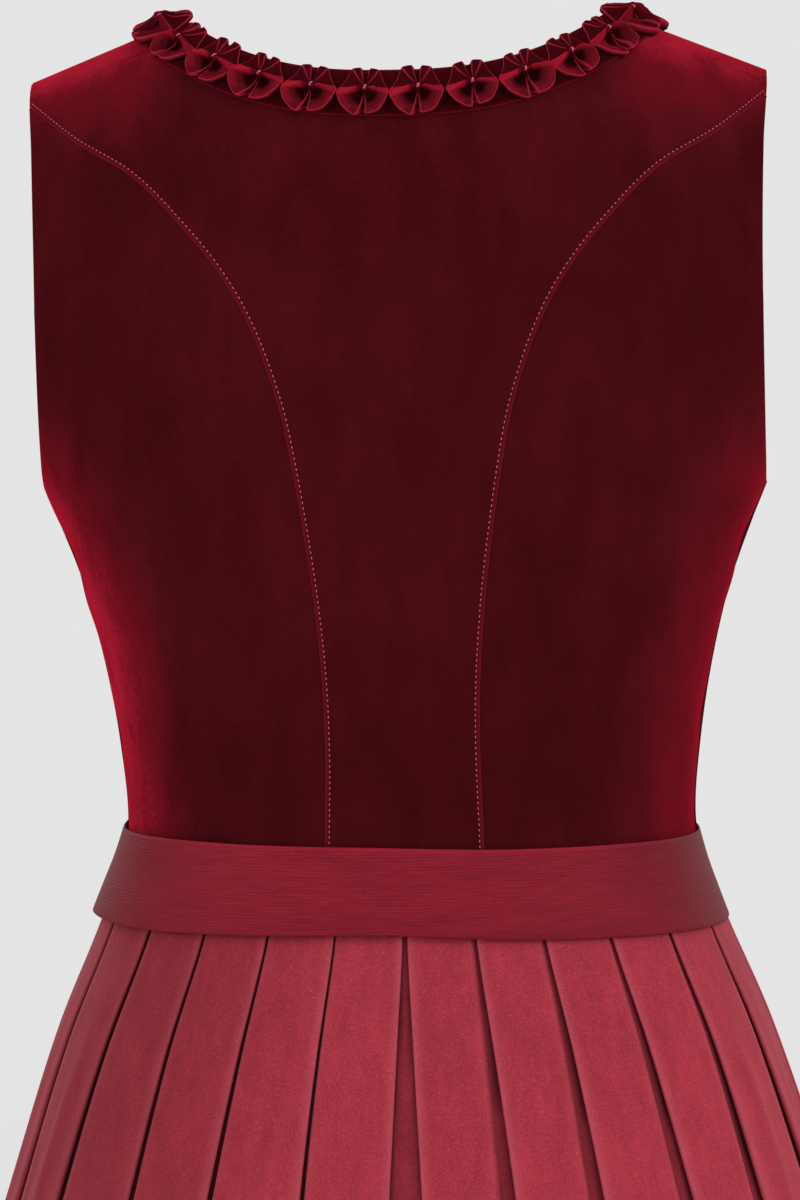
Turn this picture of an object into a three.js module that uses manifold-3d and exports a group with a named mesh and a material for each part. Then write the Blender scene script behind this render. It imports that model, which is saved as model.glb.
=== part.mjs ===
// Dirndl: velvet bodice with princess seams, ruched neck trim, waist ribbon and pleated skirt.
// Millimetres. The front faces -Y, the back +Y, +X is the wearer's left and +Z is up.
// The origin lies midway between the shoulders, at the height where they carry the garment.
import * as THREE from "three";
import { mergeVertices } from "three/addons/utils/BufferGeometryUtils.js";
import Module from "manifold-3d";

const wasm = await Module();
wasm.setup();

// Driving dimensions
const SEAM_GAP = 0.3;
const BODICE_WALL = 1.6;
const SECTION_POWER = 2.3;
const WAIST_SEAM_Z = -412;
const CHEST_Z = -130;

// Shoulder line, seen from the back: its height at the neck side and its slope outwards
const NECK_HALF_WIDTH = 106;
const SHOULDER_Z_AT_NECK = 15;
const SHOULDER_SLOPE = 0.4;
const SHOULDER_CROWN_Z = 42;
const CROWN_SOFTNESS = 8;

// Neckline drops at the centre, and how squarely the scoops turn up to the shoulders
const BACK_NECK_Z = -14;
const BACK_NECK_POWER = 2.6;
const FRONT_NECK_Z = -122;
const FRONT_NECK_POWER = 2.4;

// Bodice section by height: half width, and depth of the back and of the front from the shoulder plane
const TORSO = [
  { z: -430, half: 150, back: 97, front: 104 },
  { z: -412, half: 146, back: 93, front: 101 },
  { z: -386, half: 142.2, back: 90, front: 98 },
  { z: -350, half: 145, back: 92, front: 101 },
  { z: -310, half: 151.3, back: 96, front: 109 },
  { z: -270, half: 161, back: 101, front: 122 },
  { z: -237, half: 173, back: 104, front: 132 },
  { z: -217, half: 181, back: 105, front: 134 },
  { z: -185, half: 190, back: 106, front: 130 },
  { z: -155, half: 198, back: 105.5, front: 121 },
  { z: CHEST_Z, half: 203, back: 105, front: 114 },
];

// Princess seams by height: distance from the centre line, from the armhole to the waist
const BACK_PRINCESS = [
  { z: -31, x: 178 },
  { z: -46, x: 157 },
  { z: -62, x: 129 },
  { z: -85, x: 105 },
  { z: -110, x: 84.5 },
  { z: -136, x: 70 },
  { z: -172, x: 57.3 },
  { z: -201, x: 51.2 },
  { z: -240, x: 45.2 },
  { z: -270, x: 41.5 },
  { z: -308, x: 38.5 },
  { z: -345, x: 37.8 },
  { z: -384, x: 38.8 },
  { z: WAIST_SEAM_Z, x: 39.5 },
];
const FRONT_PRINCESS = [
  { z: -86, x: 169.5 },
  { z: -110, x: 147 },
  { z: -140, x: 124 },
  { z: -180, x: 102 },
  { z: -225, x: 90 },
  { z: -270, x: 80 },
  { z: -320, x: 67 },
  { z: -365, x: 60 },
  { z: WAIST_SEAM_Z, x: 58 },
];

// Armhole edges by height: distance from the centre line, down to just below the underarm
const UNDERARM_Z = -222;
const BACK_ARMHOLE = [
  { z: 60, x: 184 },
  { z: -20, x: 182 },
  { z: -50, x: 179.5 },
  { z: -100, x: 178 },
  { z: -150, x: 178.2 },
  { z: -190, x: 179 },
  { z: UNDERARM_Z, x: 180 },
];
const FRONT_ARMHOLE = [
  { z: 60, x: 184 },
  { z: -20, x: 182 },
  { z: -60, x: 175.5 },
  { z: -100, x: 172 },
  { z: -140, x: 173 },
  { z: -180, x: 176.5 },
  { z: UNDERARM_Z, x: 180 },
];

// Heights at which every seam has a corner
const SEAM_LEVELS = [-46, -62, -85, -110, -136, -172, -201, -240, -270, -308, -345, -384];

// Facets: rings of the bodice, steps along the neckline's cut and along each half of its path
const BODICE_COLUMNS = 52;
const BODICE_LEVELS = [-386, -350, -310, -270, -237, -217, -185, -155, CHEST_Z];
const DOME_DEGREES = [18, 35, 51, 65, 78, 90];
const NECK_STEPS = 28;
const PATH_STEPS = 60;
const RING_STEPS = 240;

// Cutting prisms reach past the garment by these: sideways and in depth, above it and below the waist
const REACH = 260;
const ABOVE_Z = 90;
const BELOW_Z = -450;

// Ruched neck trim: strip width, unit pitch and clearance over the velvet
const TRIM_UNITS = 32;
const TRIM_WIDTH = 25;
const TRIM_LIFT = 0.5;

// One ruched unit: relief height by distance down the strip, at six places along the unit
const RUCHE_PLACES = [-0.5, -0.33, -0.17, 0, 0.17, 0.33];
const RUCHE = [
  { down: 0, rise: [1.2, 2.0, 3.0, 2.2, 3.0, 2.0] },
  { down: 0.2, rise: [1.2, 3.2, 4.6, 3.0, 4.6, 3.2] },
  { down: 0.45, rise: [1.6, 2.6, 4.4, 6.4, 4.4, 2.6] },
  { down: 0.66, rise: [1.4, 5.6, 4.2, 1.8, 4.2, 5.6] },
  { down: 0.86, rise: [1.2, 4.4, 6.0, 2.0, 6.0, 4.4] },
  { down: 1, rise: [1.0, 1.4, 2.6, 1.2, 2.6, 1.4] },
];

// Waist ribbon by height: its inner face
const RIBBON_WALL = 1.2;
const RIBBON_LAP = 42;
const RIBBON_STEPS = 56;
const RIBBON = [
  { z: -391, half: 143.8, back: 91.4, front: 99.4 },
  { z: -406, half: 147.8, back: 95.2, front: 103.2 },
  { z: -420, half: 152.6, back: 100.4, front: 108.4 },
  { z: -434, half: 157.6, back: 105.8, front: 113.8 },
];

// A pleat's face: where it starts to sink and where it lies down, as shares of the pitch before the next
// fold, and how high it still is where it starts to sink, in layers
const SINK_SHARE = 0.42;
const TUCK_SHARE = 0.12;
const SINK_LAYERS = 1.75;

// Skirt by height: the ring its underlay lies on, the opening of the centre back pleat, and the pleats'
// underlap, layer spacing and fold radius
const SKIRT_WALL = 1;
const FOLDS_PER_SIDE = 13;
const SEAM_FOLD = 7;
const HEM_Z = -1112;
const SKIRT = [
  { z: -412.2, half: 144.6, back: 92, front: 100, gap: 2.2, underlap: 20, layer: 1.4, roll: 0.75 },
  { z: -440, half: 153.6, back: 101.5, front: 109.5, gap: 2.6, underlap: 19.5, layer: 1.6, roll: 0.85 },
  { z: -490, half: 174, back: 120.6, front: 127, gap: 4.6, underlap: 18, layer: 2.3, roll: 1.3 },
  { z: -560, half: 195, back: 142, front: 147, gap: 8.4, underlap: 16, layer: 3.2, roll: 2 },
  { z: -660, half: 223.5, back: 171.5, front: 176, gap: 13, underlap: 13, layer: 4.4, roll: 3 },
  { z: -790, half: 255.5, back: 204.5, front: 210, gap: 18, underlap: 9.5, layer: 5.8, roll: 4.2 },
  { z: -940, half: 285.5, back: 236.5, front: 244, gap: 23, underlap: 6, layer: 7, roll: 5.4 },
  { z: HEM_Z, half: 313, back: 268, front: 276, gap: 27, underlap: 3, layer: 8, roll: 6.4 },
];

const VELVET = new THREE.MeshStandardMaterial({ color: 0x5a0f1b, roughness: 0.85, metalness: 0 });
const TRIM_VELVET = new THREE.MeshStandardMaterial({ color: 0x7a1424, roughness: 0.8, metalness: 0 });
const RIBBON_CLOTH = new THREE.MeshStandardMaterial({ color: 0x821c2a, roughness: 0.5, metalness: 0 });
const SKIRT_CLOTH = new THREE.MeshStandardMaterial({ color: 0xa23444, roughness: 0.75, metalness: 0 });

// Tables

// Smooth value of a table's column at a height, its rows running up or down.
function tableValue(table, key, z) {
  const rows = table[0].z < table[table.length - 1].z ? table : [...table].reverse();
  if (z <= rows[0].z) return rows[0][key];
  if (z >= rows[rows.length - 1].z) return rows[rows.length - 1][key];
  const i = rows.findIndex((row) => row.z > z) - 1;
  const [a, b] = [rows[i], rows[i + 1]];
  const slopeAt = (j) => {
    const [low, high] = [rows[Math.max(j - 1, 0)], rows[Math.min(j + 1, rows.length - 1)]];
    return (high[key] - low[key]) / (high.z - low.z);
  };
  const span = b.z - a.z;
  const t = (z - a.z) / span;
  const [t2, t3] = [t * t, t * t * t];
  return (
    (2 * t3 - 3 * t2 + 1) * a[key] +
    (t3 - 2 * t2 + t) * span * slopeAt(i) +
    (3 * t2 - 2 * t3) * b[key] +
    (t3 - t2) * span * slopeAt(i + 1)
  );
}

// Depth of a section at a distance from the centre line, as a share of its depth at the centre
const fullness = (x, half) => Math.max(0, 1 - (Math.abs(x) / half) ** SECTION_POWER) ** (1 / SECTION_POWER);

// Body surface

// Height of the shoulder line at a distance from the centre, rounded off over the neck hole
function shoulderZ(x) {
  const slope = SHOULDER_Z_AT_NECK + (NECK_HALF_WIDTH - Math.abs(x)) * SHOULDER_SLOPE;
  const above = (SHOULDER_CROWN_Z - slope) / CROWN_SOFTNESS;
  return SHOULDER_CROWN_Z - CROWN_SOFTNESS * Math.log(1 + Math.exp(above));
}

// How far a point lies outside the bodice, 0 on its surface; the back has y > 0 and the front y < 0
function outside(p) {
  const side = p.y >= 0 ? "back" : "front";
  const z = Math.min(p.z, CHEST_Z);
  const depth = tableValue(TORSO, side, z) * Math.max(fullness(p.x, tableValue(TORSO, "half", z)), 0.02);
  const rise = Math.max(0, (p.z - CHEST_Z) / (shoulderZ(p.x) - CHEST_Z));
  return Math.hypot(p.y / depth, rise) - 1;
}

// Direction straight out of the bodice at a point
function outwards(p) {
  const step = 0.05;
  const slope = (axis) => {
    const [low, high] = [p.clone(), p.clone()];
    low[axis] -= step;
    high[axis] += step;
    return (outside(high) - outside(low)) / (2 * step);
  };
  return new THREE.Vector3(slope("x"), slope("y"), slope("z"));
}

// Moves a nearby point onto the bodice's surface.
function settle(p) {
  const q = p.clone();
  for (let turn = 0; turn < 6; turn++) {
    const steepest = outwards(q);
    q.addScaledVector(steepest, -outside(q) / steepest.lengthSq());
  }
  return q;
}

// Solids

// Mesh of points and the corners of its triangles
function geometryOf(points, faces) {
  const geometry = new THREE.BufferGeometry();
  const values = points.flatMap((p) => p.toArray());
  geometry.setAttribute("position", new THREE.Float32BufferAttribute(values, 3));
  geometry.setIndex(faces);
  return geometry;
}

// Two triangles between four corners
function addQuad(faces, a, b, c, d) {
  faces.push(a, b, c, a, c, d);
}

// Solid for joining and cutting, and the mesh of a solid
function solidOf(geometry) {
  const bare = geometry.clone();
  for (const name of ["normal", "uv"]) bare.deleteAttribute(name);
  const merged = mergeVertices(bare, 1e-4);
  return new wasm.Manifold(
    new wasm.Mesh({
      numProp: 3,
      vertProperties: new Float32Array(merged.attributes.position.array),
      triVerts: new Uint32Array(merged.index.array),
    }),
  );
}

function geometryFrom(solid) {
  const { vertProperties, triVerts } = solid.getMesh();
  const geometry = new THREE.BufferGeometry();
  geometry.setAttribute("position", new THREE.Float32BufferAttribute(vertProperties, 3));
  geometry.setIndex([...triVerts]);
  return geometry;
}

// Filled torso, drawn in by a wall's thickness: rings up to the chest, then a dome over the shoulders.
function filledTorso(inset, bottomZ) {
  const columns = BODICE_COLUMNS;
  const rings = [];
  const place = (column, z) => {
    const angle = ((column + 0.5) / columns) * 2 * Math.PI;
    const side = Math.cos(angle) >= 0 ? "back" : "front";
    const half = tableValue(TORSO, "half", z) - inset;
    const depth = tableValue(TORSO, side, z) - inset;
    const round = 2 / SECTION_POWER;
    return new THREE.Vector3(
      half * Math.sign(Math.sin(angle)) * Math.abs(Math.sin(angle)) ** round,
      depth * Math.sign(Math.cos(angle)) * Math.abs(Math.cos(angle)) ** round,
      z,
    );
  };
  const ringOf = (make) => Array.from({ length: columns }, (_, column) => make(column));
  for (const z of [bottomZ, ...BODICE_LEVELS]) rings.push(ringOf((column) => place(column, z)));
  for (const degrees of DOME_DEGREES) {
    const tilt = THREE.MathUtils.degToRad(degrees);
    rings.push(
      ringOf((column) => {
        const p = place(column, CHEST_Z);
        const rise = shoulderZ(p.x) - inset - CHEST_Z;
        const lean = degrees === 90 ? 0 : Math.cos(tilt);
        return new THREE.Vector3(p.x, p.y * lean, CHEST_Z + rise * Math.sin(tilt));
      }),
    );
  }
  const faces = [];
  for (let row = 0; row + 1 < rings.length; row++)
    for (let column = 0; column < columns; column++) {
      const next = (column + 1) % columns;
      const [low, high] = [row * columns, (row + 1) * columns];
      addQuad(faces, low + column, high + column, high + next, low + next);
    }
  const floor = rings[0].map((p) => new THREE.Vector2(p.x, p.y));
  for (const [a, b, c] of THREE.ShapeUtils.triangulateShape(floor, [])) faces.push(a, c, b);
  return solidOf(geometryOf(rings.flat(), faces));
}

// Prism through the garment from its outline seen along Y, between two depths.
function prism(outline, nearY, farY) {
  const shape = new THREE.Shape(outline.map(([x, z]) => new THREE.Vector2(x, z)));
  const geometry = new THREE.ExtrudeGeometry(shape, { depth: farY - nearY, bevelEnabled: false });
  geometry.rotateX(Math.PI / 2);
  geometry.translate(0, farY, 0);
  return solidOf(geometry);
}

// Evenly spaced values from one number to another
function steps(from, to, count) {
  return Array.from({ length: count + 1 }, (_, i) => from + ((to - from) * i) / count);
}

// Height of the neckline at a distance from the centre
function necklineZ(side, x) {
  const [low, power] = side === "back" ? [BACK_NECK_Z, BACK_NECK_POWER] : [FRONT_NECK_Z, FRONT_NECK_POWER];
  const rise = shoulderZ(NECK_HALF_WIDTH) - low;
  return low + rise * Math.min(1, Math.abs(x) / NECK_HALF_WIDTH) ** power;
}

// Outline of the neck hole seen along Y
function neckOutline(side) {
  const scoop = steps(-NECK_HALF_WIDTH, NECK_HALF_WIDTH, NECK_STEPS).map((x) => [x, necklineZ(side, x)]);
  return [[-NECK_HALF_WIDTH, ABOVE_Z], ...scoop, [NECK_HALF_WIDTH, ABOVE_Z]];
}

// A seam's or edge's line from its lowest to its highest height, moved sideways
function lineOf(table, shift) {
  const [first, last] = [table[0].z, table[table.length - 1].z];
  const [low, high] = [Math.min(first, last), Math.max(first, last)];
  const heights = [low, ...SEAM_LEVELS.filter((z) => z > low + 4 && z < high - 4).reverse(), high];
  return heights.map((z) => [tableValue(table, "x", z) + shift, z]);
}

const shell = filledTorso(0, WAIST_SEAM_Z + SEAM_GAP / 2).subtract(filledTorso(BODICE_WALL, BELOW_Z));

// The wall of one side of the bodice inside its armhole edges, less the neck hole
function sideWall(side) {
  const [near, far] = side === "back" ? [SEAM_GAP / 2, REACH] : [-REACH, -SEAM_GAP / 2];
  const armhole = lineOf(side === "back" ? BACK_ARMHOLE : FRONT_ARMHOLE, 0);
  const below = [
    [REACH, UNDERARM_Z - 1],
    [REACH, BELOW_Z],
    [-REACH, BELOW_Z],
    [-REACH, UNDERARM_Z - 1],
  ];
  const leftEdge = armhole.map(([x, z]) => [-x, z]);
  const outline = [...below, ...leftEdge, ...[...armhole].reverse()];
  return shell.intersect(prism(outline, near, far)).subtract(prism(neckOutline(side), near - 1, far + 1));
}

// Region between the two princess seams, or between one and the centre line
function middleOutline(table, fromX) {
  const top = table[0];
  const right = lineOf(table, -SEAM_GAP / 2);
  const rightEdge = [[right[0][0], BELOW_Z], ...right, [REACH, top.z], [REACH, ABOVE_Z]];
  if (fromX !== null) return [[fromX, BELOW_Z], ...rightEdge, [fromX, ABOVE_Z]];
  const leftEdge = rightEdge.map(([x, z]) => [-x, z]).reverse();
  return [...leftEdge, ...rightEdge];
}

// Region between a princess seam and the side
function sideOutline(table) {
  const seam = lineOf(table, SEAM_GAP / 2);
  return [[seam[0][0], BELOW_Z], ...seam, [REACH, table[0].z - SEAM_GAP], [REACH, BELOW_Z]];
}

const mirrorOutline = (outline) => outline.map(([x, z]) => [-x, z]).reverse();

function bodicePanels() {
  const [back, front] = [sideWall("back"), sideWall("front")];
  const cut = (wall, outline) => geometryFrom(wall.intersect(prism(outline, -REACH, REACH)));
  const [backSide, frontSide] = [sideOutline(BACK_PRINCESS), sideOutline(FRONT_PRINCESS)];
  const frontMiddle = middleOutline(FRONT_PRINCESS, SEAM_GAP / 2);
  return {
    centre_back: cut(back, middleOutline(BACK_PRINCESS, null)),
    side_back_left: cut(back, backSide),
    side_back_right: cut(back, mirrorOutline(backSide)),
    centre_front_left: cut(front, frontMiddle),
    centre_front_right: cut(front, mirrorOutline(frontMiddle)),
    side_front_left: cut(front, frontSide),
    side_front_right: cut(front, mirrorOutline(frontSide)),
  };
}

// Neck trim

// Neckline from the centre back over the left shoulder to the centre front, on the bodice's surface
function halfNeckline() {
  const turn = (side, share) => {
    const x = NECK_HALF_WIDTH * Math.sin((share * Math.PI) / 2);
    const z = necklineZ(side, x);
    const rise = (z - CHEST_Z) / (shoulderZ(x) - CHEST_Z);
    const depth = tableValue(TORSO, side, CHEST_Z) * fullness(x, tableValue(TORSO, "half", CHEST_Z));
    const y = depth * Math.sqrt(Math.max(0, 1 - rise * rise));
    return new THREE.Vector3(x, side === "back" ? y : -y, z);
  };
  const back = steps(0, 1, PATH_STEPS).map((share) => turn("back", share));
  const front = steps(1, 0, PATH_STEPS).map((share) => turn("front", share));
  return [...back, ...front.slice(1)];
}

// Points evenly spaced along a polyline
function evenly(points, count) {
  const lengths = [0];
  for (let i = 1; i < points.length; i++) {
    lengths.push(lengths[i - 1] + points[i].distanceTo(points[i - 1]));
  }
  const total = lengths[lengths.length - 1];
  return steps(0, total, count).map((distance) => {
    const i = Math.min(Math.max(lengths.findIndex((at) => at >= distance), 1), points.length - 1);
    const share = (distance - lengths[i - 1]) / (lengths[i] - lengths[i - 1]);
    return points[i - 1].clone().lerp(points[i], share);
  });
}

function neckTrim() {
  const perUnit = RUCHE_PLACES.length;
  const half = evenly(halfNeckline(), (TRIM_UNITS / 2) * perUnit);
  const mirrored = half.slice(1, -1).reverse();
  const path = [...half, ...mirrored.map((p) => new THREE.Vector3(-p.x, p.y, p.z))];
  const count = path.length;
  const points = [];
  const downs = RUCHE.map((row) => row.down);
  const baseDowns = [1, 0.5, 0];
  const perStation = RUCHE.length + baseDowns.length;
  for (let i = 0; i < count; i++) {
    const along = path[(i + 1) % count].clone().sub(path[(i + count - 1) % count]).normalize();
    const normal = outwards(path[i]).normalize();
    const down = normal.clone().cross(along).normalize();
    const at = (share, lift) => {
      const base = settle(path[i].clone().addScaledVector(down, share * TRIM_WIDTH));
      return base.clone().addScaledVector(outwards(base).normalize(), lift);
    };
    RUCHE.forEach((row, j) => points.push(at(downs[j], TRIM_LIFT + row.rise[i % perUnit])));
    for (const share of baseDowns) points.push(at(share, TRIM_LIFT));
  }
  const faces = [];
  for (let i = 0; i < count; i++) {
    const [here, there] = [i * perStation, ((i + 1) % count) * perStation];
    for (let j = 0; j < perStation; j++) {
      const next = (j + 1) % perStation;
      addQuad(faces, here + j, there + j, there + next, here + next);
    }
  }
  return geometryOf(points, faces);
}

// Rings round the waist and skirt

// Half of a ring from the centre back to the centre front, as points and distances along it
function halfRing(size) {
  const points = steps(0, 1, RING_STEPS).map((share) => {
    const angle = share * Math.PI;
    const round = 2 / SECTION_POWER;
    const depth = Math.cos(angle) >= 0 ? size.back : -size.front;
    return new THREE.Vector2(
      size.half * Math.abs(Math.sin(angle)) ** round,
      depth * Math.abs(Math.cos(angle)) ** round,
    );
  });
  const lengths = [0];
  for (let i = 1; i < points.length; i++) {
    lengths.push(lengths[i - 1] + points[i].distanceTo(points[i - 1]));
  }
  return { points, lengths, total: lengths[lengths.length - 1] };
}

// Point on a ring at a distance round from the centre back, moved outwards
function ringPoint(ring, around, lift, z) {
  const whole = 2 * ring.total;
  const wrapped = ((around % whole) + whole) % whole;
  const mirror = wrapped > ring.total ? -1 : 1;
  const distance = mirror > 0 ? wrapped : whole - wrapped;
  const last = ring.points.length - 1;
  const i = Math.min(Math.max(ring.lengths.findIndex((at) => at >= distance), 1), last);
  const share = (distance - ring.lengths[i - 1]) / (ring.lengths[i] - ring.lengths[i - 1]);
  const at = ring.points[i - 1].clone().lerp(ring.points[i], share);
  const reach = 3;
  const [before, after] = [ring.points[Math.max(i - reach, 0)], ring.points[Math.min(i + reach - 1, last)]];
  const along = after.clone().sub(before).normalize();
  const normal = new THREE.Vector2(-along.y, along.x).multiplyScalar(lift);
  return new THREE.Vector3(mirror * (at.x + normal.x), at.y + normal.y, z);
}

// Wall between an outer and an inner sheet of points, rows from the top down and closed at its ends
function wallOf(outer, inner) {
  const [rows, columns] = [outer.length, outer[0].length];
  const points = [...outer.flat(), ...inner.flat()];
  const faces = [];
  const [out, back] = [(r, c) => r * columns + c, (r, c) => (rows + r) * columns + c];
  for (let r = 0; r + 1 < rows; r++)
    for (let c = 0; c + 1 < columns; c++) {
      addQuad(faces, out(r, c), out(r + 1, c), out(r + 1, c + 1), out(r, c + 1));
      addQuad(faces, back(r, c), back(r, c + 1), back(r + 1, c + 1), back(r + 1, c));
    }
  const last = [rows - 1, columns - 1];
  for (let c = 0; c < last[1]; c++) {
    addQuad(faces, out(0, c), out(0, c + 1), back(0, c + 1), back(0, c));
    addQuad(faces, out(last[0], c + 1), out(last[0], c), back(last[0], c), back(last[0], c + 1));
  }
  for (let r = 0; r < last[0]; r++) {
    addQuad(faces, out(r + 1, 0), out(r, 0), back(r, 0), back(r + 1, 0));
    addQuad(faces, out(r, last[1]), out(r + 1, last[1]), back(r + 1, last[1]), back(r, last[1]));
  }
  return geometryOf(points, faces);
}

// Ribbon once round the waist, its free end lapped over its other end at the front
function waistRibbon() {
  const [outer, inner] = [[], []];
  for (const row of RIBBON) {
    const ring = halfRing(row);
    const start = ring.total - RIBBON_LAP / 2;
    const whole = 2 * ring.total + RIBBON_LAP;
    const rise = (distance) => {
      const share = THREE.MathUtils.smoothstep(distance, whole - 2 * RIBBON_LAP, whole - 1.2 * RIBBON_LAP);
      return share * (RIBBON_WALL + 2 * SEAM_GAP);
    };
    const around = steps(0, whole, RIBBON_STEPS);
    const sheet = (lift) => around.map((at) => ringPoint(ring, start - at, lift + rise(at), row.z));
    outer.push(sheet(RIBBON_WALL));
    inner.push(sheet(0));
  }
  return wallOf(outer, inner);
}

// Pleated skirt

// Middle line of the cloth from the centre back to the centre front at one height: distance round and lift
function pleatLine(size, ring) {
  const { gap, underlap, layer, roll } = size;
  const pitch = (ring.total - gap) / (FOLDS_PER_SIDE - 0.5);
  const points = [{ around: 0, lift: 0 }];
  const marks = [];
  for (let fold = 0; fold < FOLDS_PER_SIDE; fold++) {
    const edge = gap + fold * pitch;
    const inner = edge + underlap;
    if (fold > 0) {
      points.push({ around: edge - SINK_SHARE * pitch, lift: SINK_LAYERS * layer });
      points.push({ around: edge - TUCK_SHARE * pitch, lift: 0 });
    }
    points.push({ around: inner - roll, lift: 0 });
    marks.push(points.length);
    points.push({ around: inner, lift: layer / 2 });
    points.push({ around: inner - roll, lift: layer });
    points.push({ around: edge + roll, lift: layer });
    points.push({ around: edge, lift: 1.5 * layer });
    points.push({ around: edge + roll, lift: 2 * layer });
  }
  points.push({ around: ring.total, lift: 2 * layer });
  return { points, marks };
}

// Both faces of the cloth all round at one height, from the centre back; the seams' places on them
function clothRound(size) {
  const ring = halfRing(size);
  const { points, marks } = pleatLine(size, ring);
  const right = points.slice(1, -1).reverse();
  const whole = [...points, ...right.map((p) => ({ around: 2 * ring.total - p.around, lift: p.lift }))];
  const line = whole.map(({ around, lift }) => ringPoint(ring, around, lift + SKIRT_WALL / 2, size.z));
  const seam = marks[SEAM_FOLD - 1];
  const faces = line.map((p, i) => {
    const [a, b] = [line[(i + line.length - 1) % line.length], line[(i + 1) % line.length]];
    const [into, away] = [p.clone().sub(a).normalize(), b.clone().sub(p).normalize()];
    const along = into.clone().add(away).normalize();
    const mitre = SKIRT_WALL / 2 / Math.sqrt((1 + into.dot(away)) / 2);
    const across = new THREE.Vector3(-along.y, along.x, 0).multiplyScalar(mitre);
    return { along, outer: p.clone().add(across), inner: p.clone().sub(across) };
  });
  return { faces, seams: [seam, line.length - seam] };
}

// Back or front of the skirt, ending half a gap short of the side seams in its hidden folds
function skirtPanel(side) {
  const [outer, inner] = [[], []];
  for (const size of SKIRT) {
    const { faces, seams } = clothRound(size);
    const [left, right] = seams;
    const back = [...faces.slice(right), ...faces.slice(0, left + 1)];
    const run = side === "back" ? back : faces.slice(left, right + 1);
    const shift = run.map((_, i) => (i === 0 ? 1 : i === run.length - 1 ? -1 : 0) * (SEAM_GAP / 2));
    outer.push(run.map((p, i) => p.outer.clone().addScaledVector(p.along, shift[i])));
    inner.push(run.map((p, i) => p.inner.clone().addScaledVector(p.along, shift[i])));
  }
  return wallOf(inner, outer);
}

// Garment

const dirndl = new THREE.Group();

function addPiece(name, geometry, material) {
  const mesh = new THREE.Mesh(geometry, material);
  mesh.name = name;
  dirndl.add(mesh);
}

for (const [name, geometry] of Object.entries(bodicePanels())) addPiece(name, geometry, VELVET);
addPiece("neck_trim", neckTrim(), TRIM_VELVET);
addPiece("waist_ribbon", waistRibbon(), RIBBON_CLOTH);
addPiece("skirt_back", skirtPanel("back"), SKIRT_CLOTH);
addPiece("skirt_front", skirtPanel("front"), SKIRT_CLOTH);

export default dirndl;
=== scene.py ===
"""Dirndl: velvet bodice, ruched neck trim, waist ribbon and pleated skirt, seen from behind.

Tables and lengths named in millimetres follow the garment's pattern; meshes are made in metres.
The front faces -Y, the back +Y, +X is the wearer's left and +Z is up.
"""

import math

import bpy
import numpy as np
from bpy.props import FloatProperty, FloatVectorProperty, IntProperty, PointerProperty
from mathutils import Matrix, Vector


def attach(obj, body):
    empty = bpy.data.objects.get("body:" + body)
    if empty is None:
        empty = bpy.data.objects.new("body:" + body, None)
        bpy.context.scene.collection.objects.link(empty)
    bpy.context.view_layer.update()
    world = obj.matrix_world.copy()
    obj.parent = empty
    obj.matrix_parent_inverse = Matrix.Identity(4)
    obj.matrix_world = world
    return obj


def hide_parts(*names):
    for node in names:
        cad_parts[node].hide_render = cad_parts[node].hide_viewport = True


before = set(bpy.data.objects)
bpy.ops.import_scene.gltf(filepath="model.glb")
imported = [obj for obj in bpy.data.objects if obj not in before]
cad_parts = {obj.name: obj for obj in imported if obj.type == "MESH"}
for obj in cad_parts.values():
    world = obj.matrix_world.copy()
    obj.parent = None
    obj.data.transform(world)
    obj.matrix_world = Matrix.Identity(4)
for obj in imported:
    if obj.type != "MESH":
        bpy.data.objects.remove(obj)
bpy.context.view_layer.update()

bl_info = {
    "name": "Dirndl",
    "version": (1, 0, 0),
    "blender": (4, 5, 0),
    "location": "View3D > Sidebar > Dirndl",
    "description": "Builds a velvet dirndl with a ruched neck trim and a pleated skirt",
    "category": "Object",
}

MM = 0.001

# Pattern of the garment, in millimetres
SECTION_POWER = 2.3
WAIST_SEAM_Z = -412.0
CHEST_Z = -130.0
DOME_SPAN = 145.0
BODICE_WALL = 1.6
NECK_HALF_WIDTH = 106.0
SHOULDER_Z_AT_NECK = 15.0
SHOULDER_SLOPE = 0.4
SHOULDER_CROWN_Z = 42.0
CROWN_SOFTNESS = 8.0
SEAM_GAP = 0.3
NECKLINE = {"back": {"low": -14.0, "power": 2.6}, "front": {"low": -122.0, "power": 2.4}}
UNDERARM_Z = -222.0

# Bodice section by height: half width, and depth of the back and of the front
TORSO = {
    "z": (-430, -412, -386, -350, -310, -270, -237, -217, -185, -155, -130),
    "half": (150, 146, 142.2, 145, 151.3, 161, 173, 181, 190, 198, 203),
    "back": (97, 93, 90, 92, 96, 101, 104, 105, 106, 105.5, 105),
    "front": (104, 101, 98, 101, 109, 122, 132, 134, 130, 121, 114),
}

# Seams and armholes by height: distance from the centre line
PRINCESS = {
    "back": {
        "z": (-412, -384, -345, -308, -270, -240, -201, -172, -136, -110, -85, -62, -46, -31),
        "x": (39.5, 38.8, 37.8, 38.5, 41.5, 45.2, 51.2, 57.3, 70, 84.5, 105, 129, 157, 178),
    },
    "front": {
        "z": (-412, -365, -320, -270, -225, -180, -140, -110, -86),
        "x": (58, 60, 67, 80, 90, 102, 124, 147, 169.5),
    },
}
ARMHOLE = {
    "back": {
        "z": (-222, -190, -150, -100, -50, -20, 60),
        "x": (180, 179, 178.2, 178, 179.5, 182, 184),
    },
    "front": {
        "z": (-222, -180, -140, -100, -60, -20, 60),
        "x": (180, 176.5, 173, 172, 175.5, 182, 184),
    },
}

# Waist ribbon by height: its inner face
RIBBON = {
    "z": (-434, -420, -406, -391),
    "half": (157.6, 152.6, 147.8, 143.8),
    "back": (105.8, 100.4, 95.2, 91.4),
    "front": (113.8, 108.4, 103.2, 99.4),
}

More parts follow.
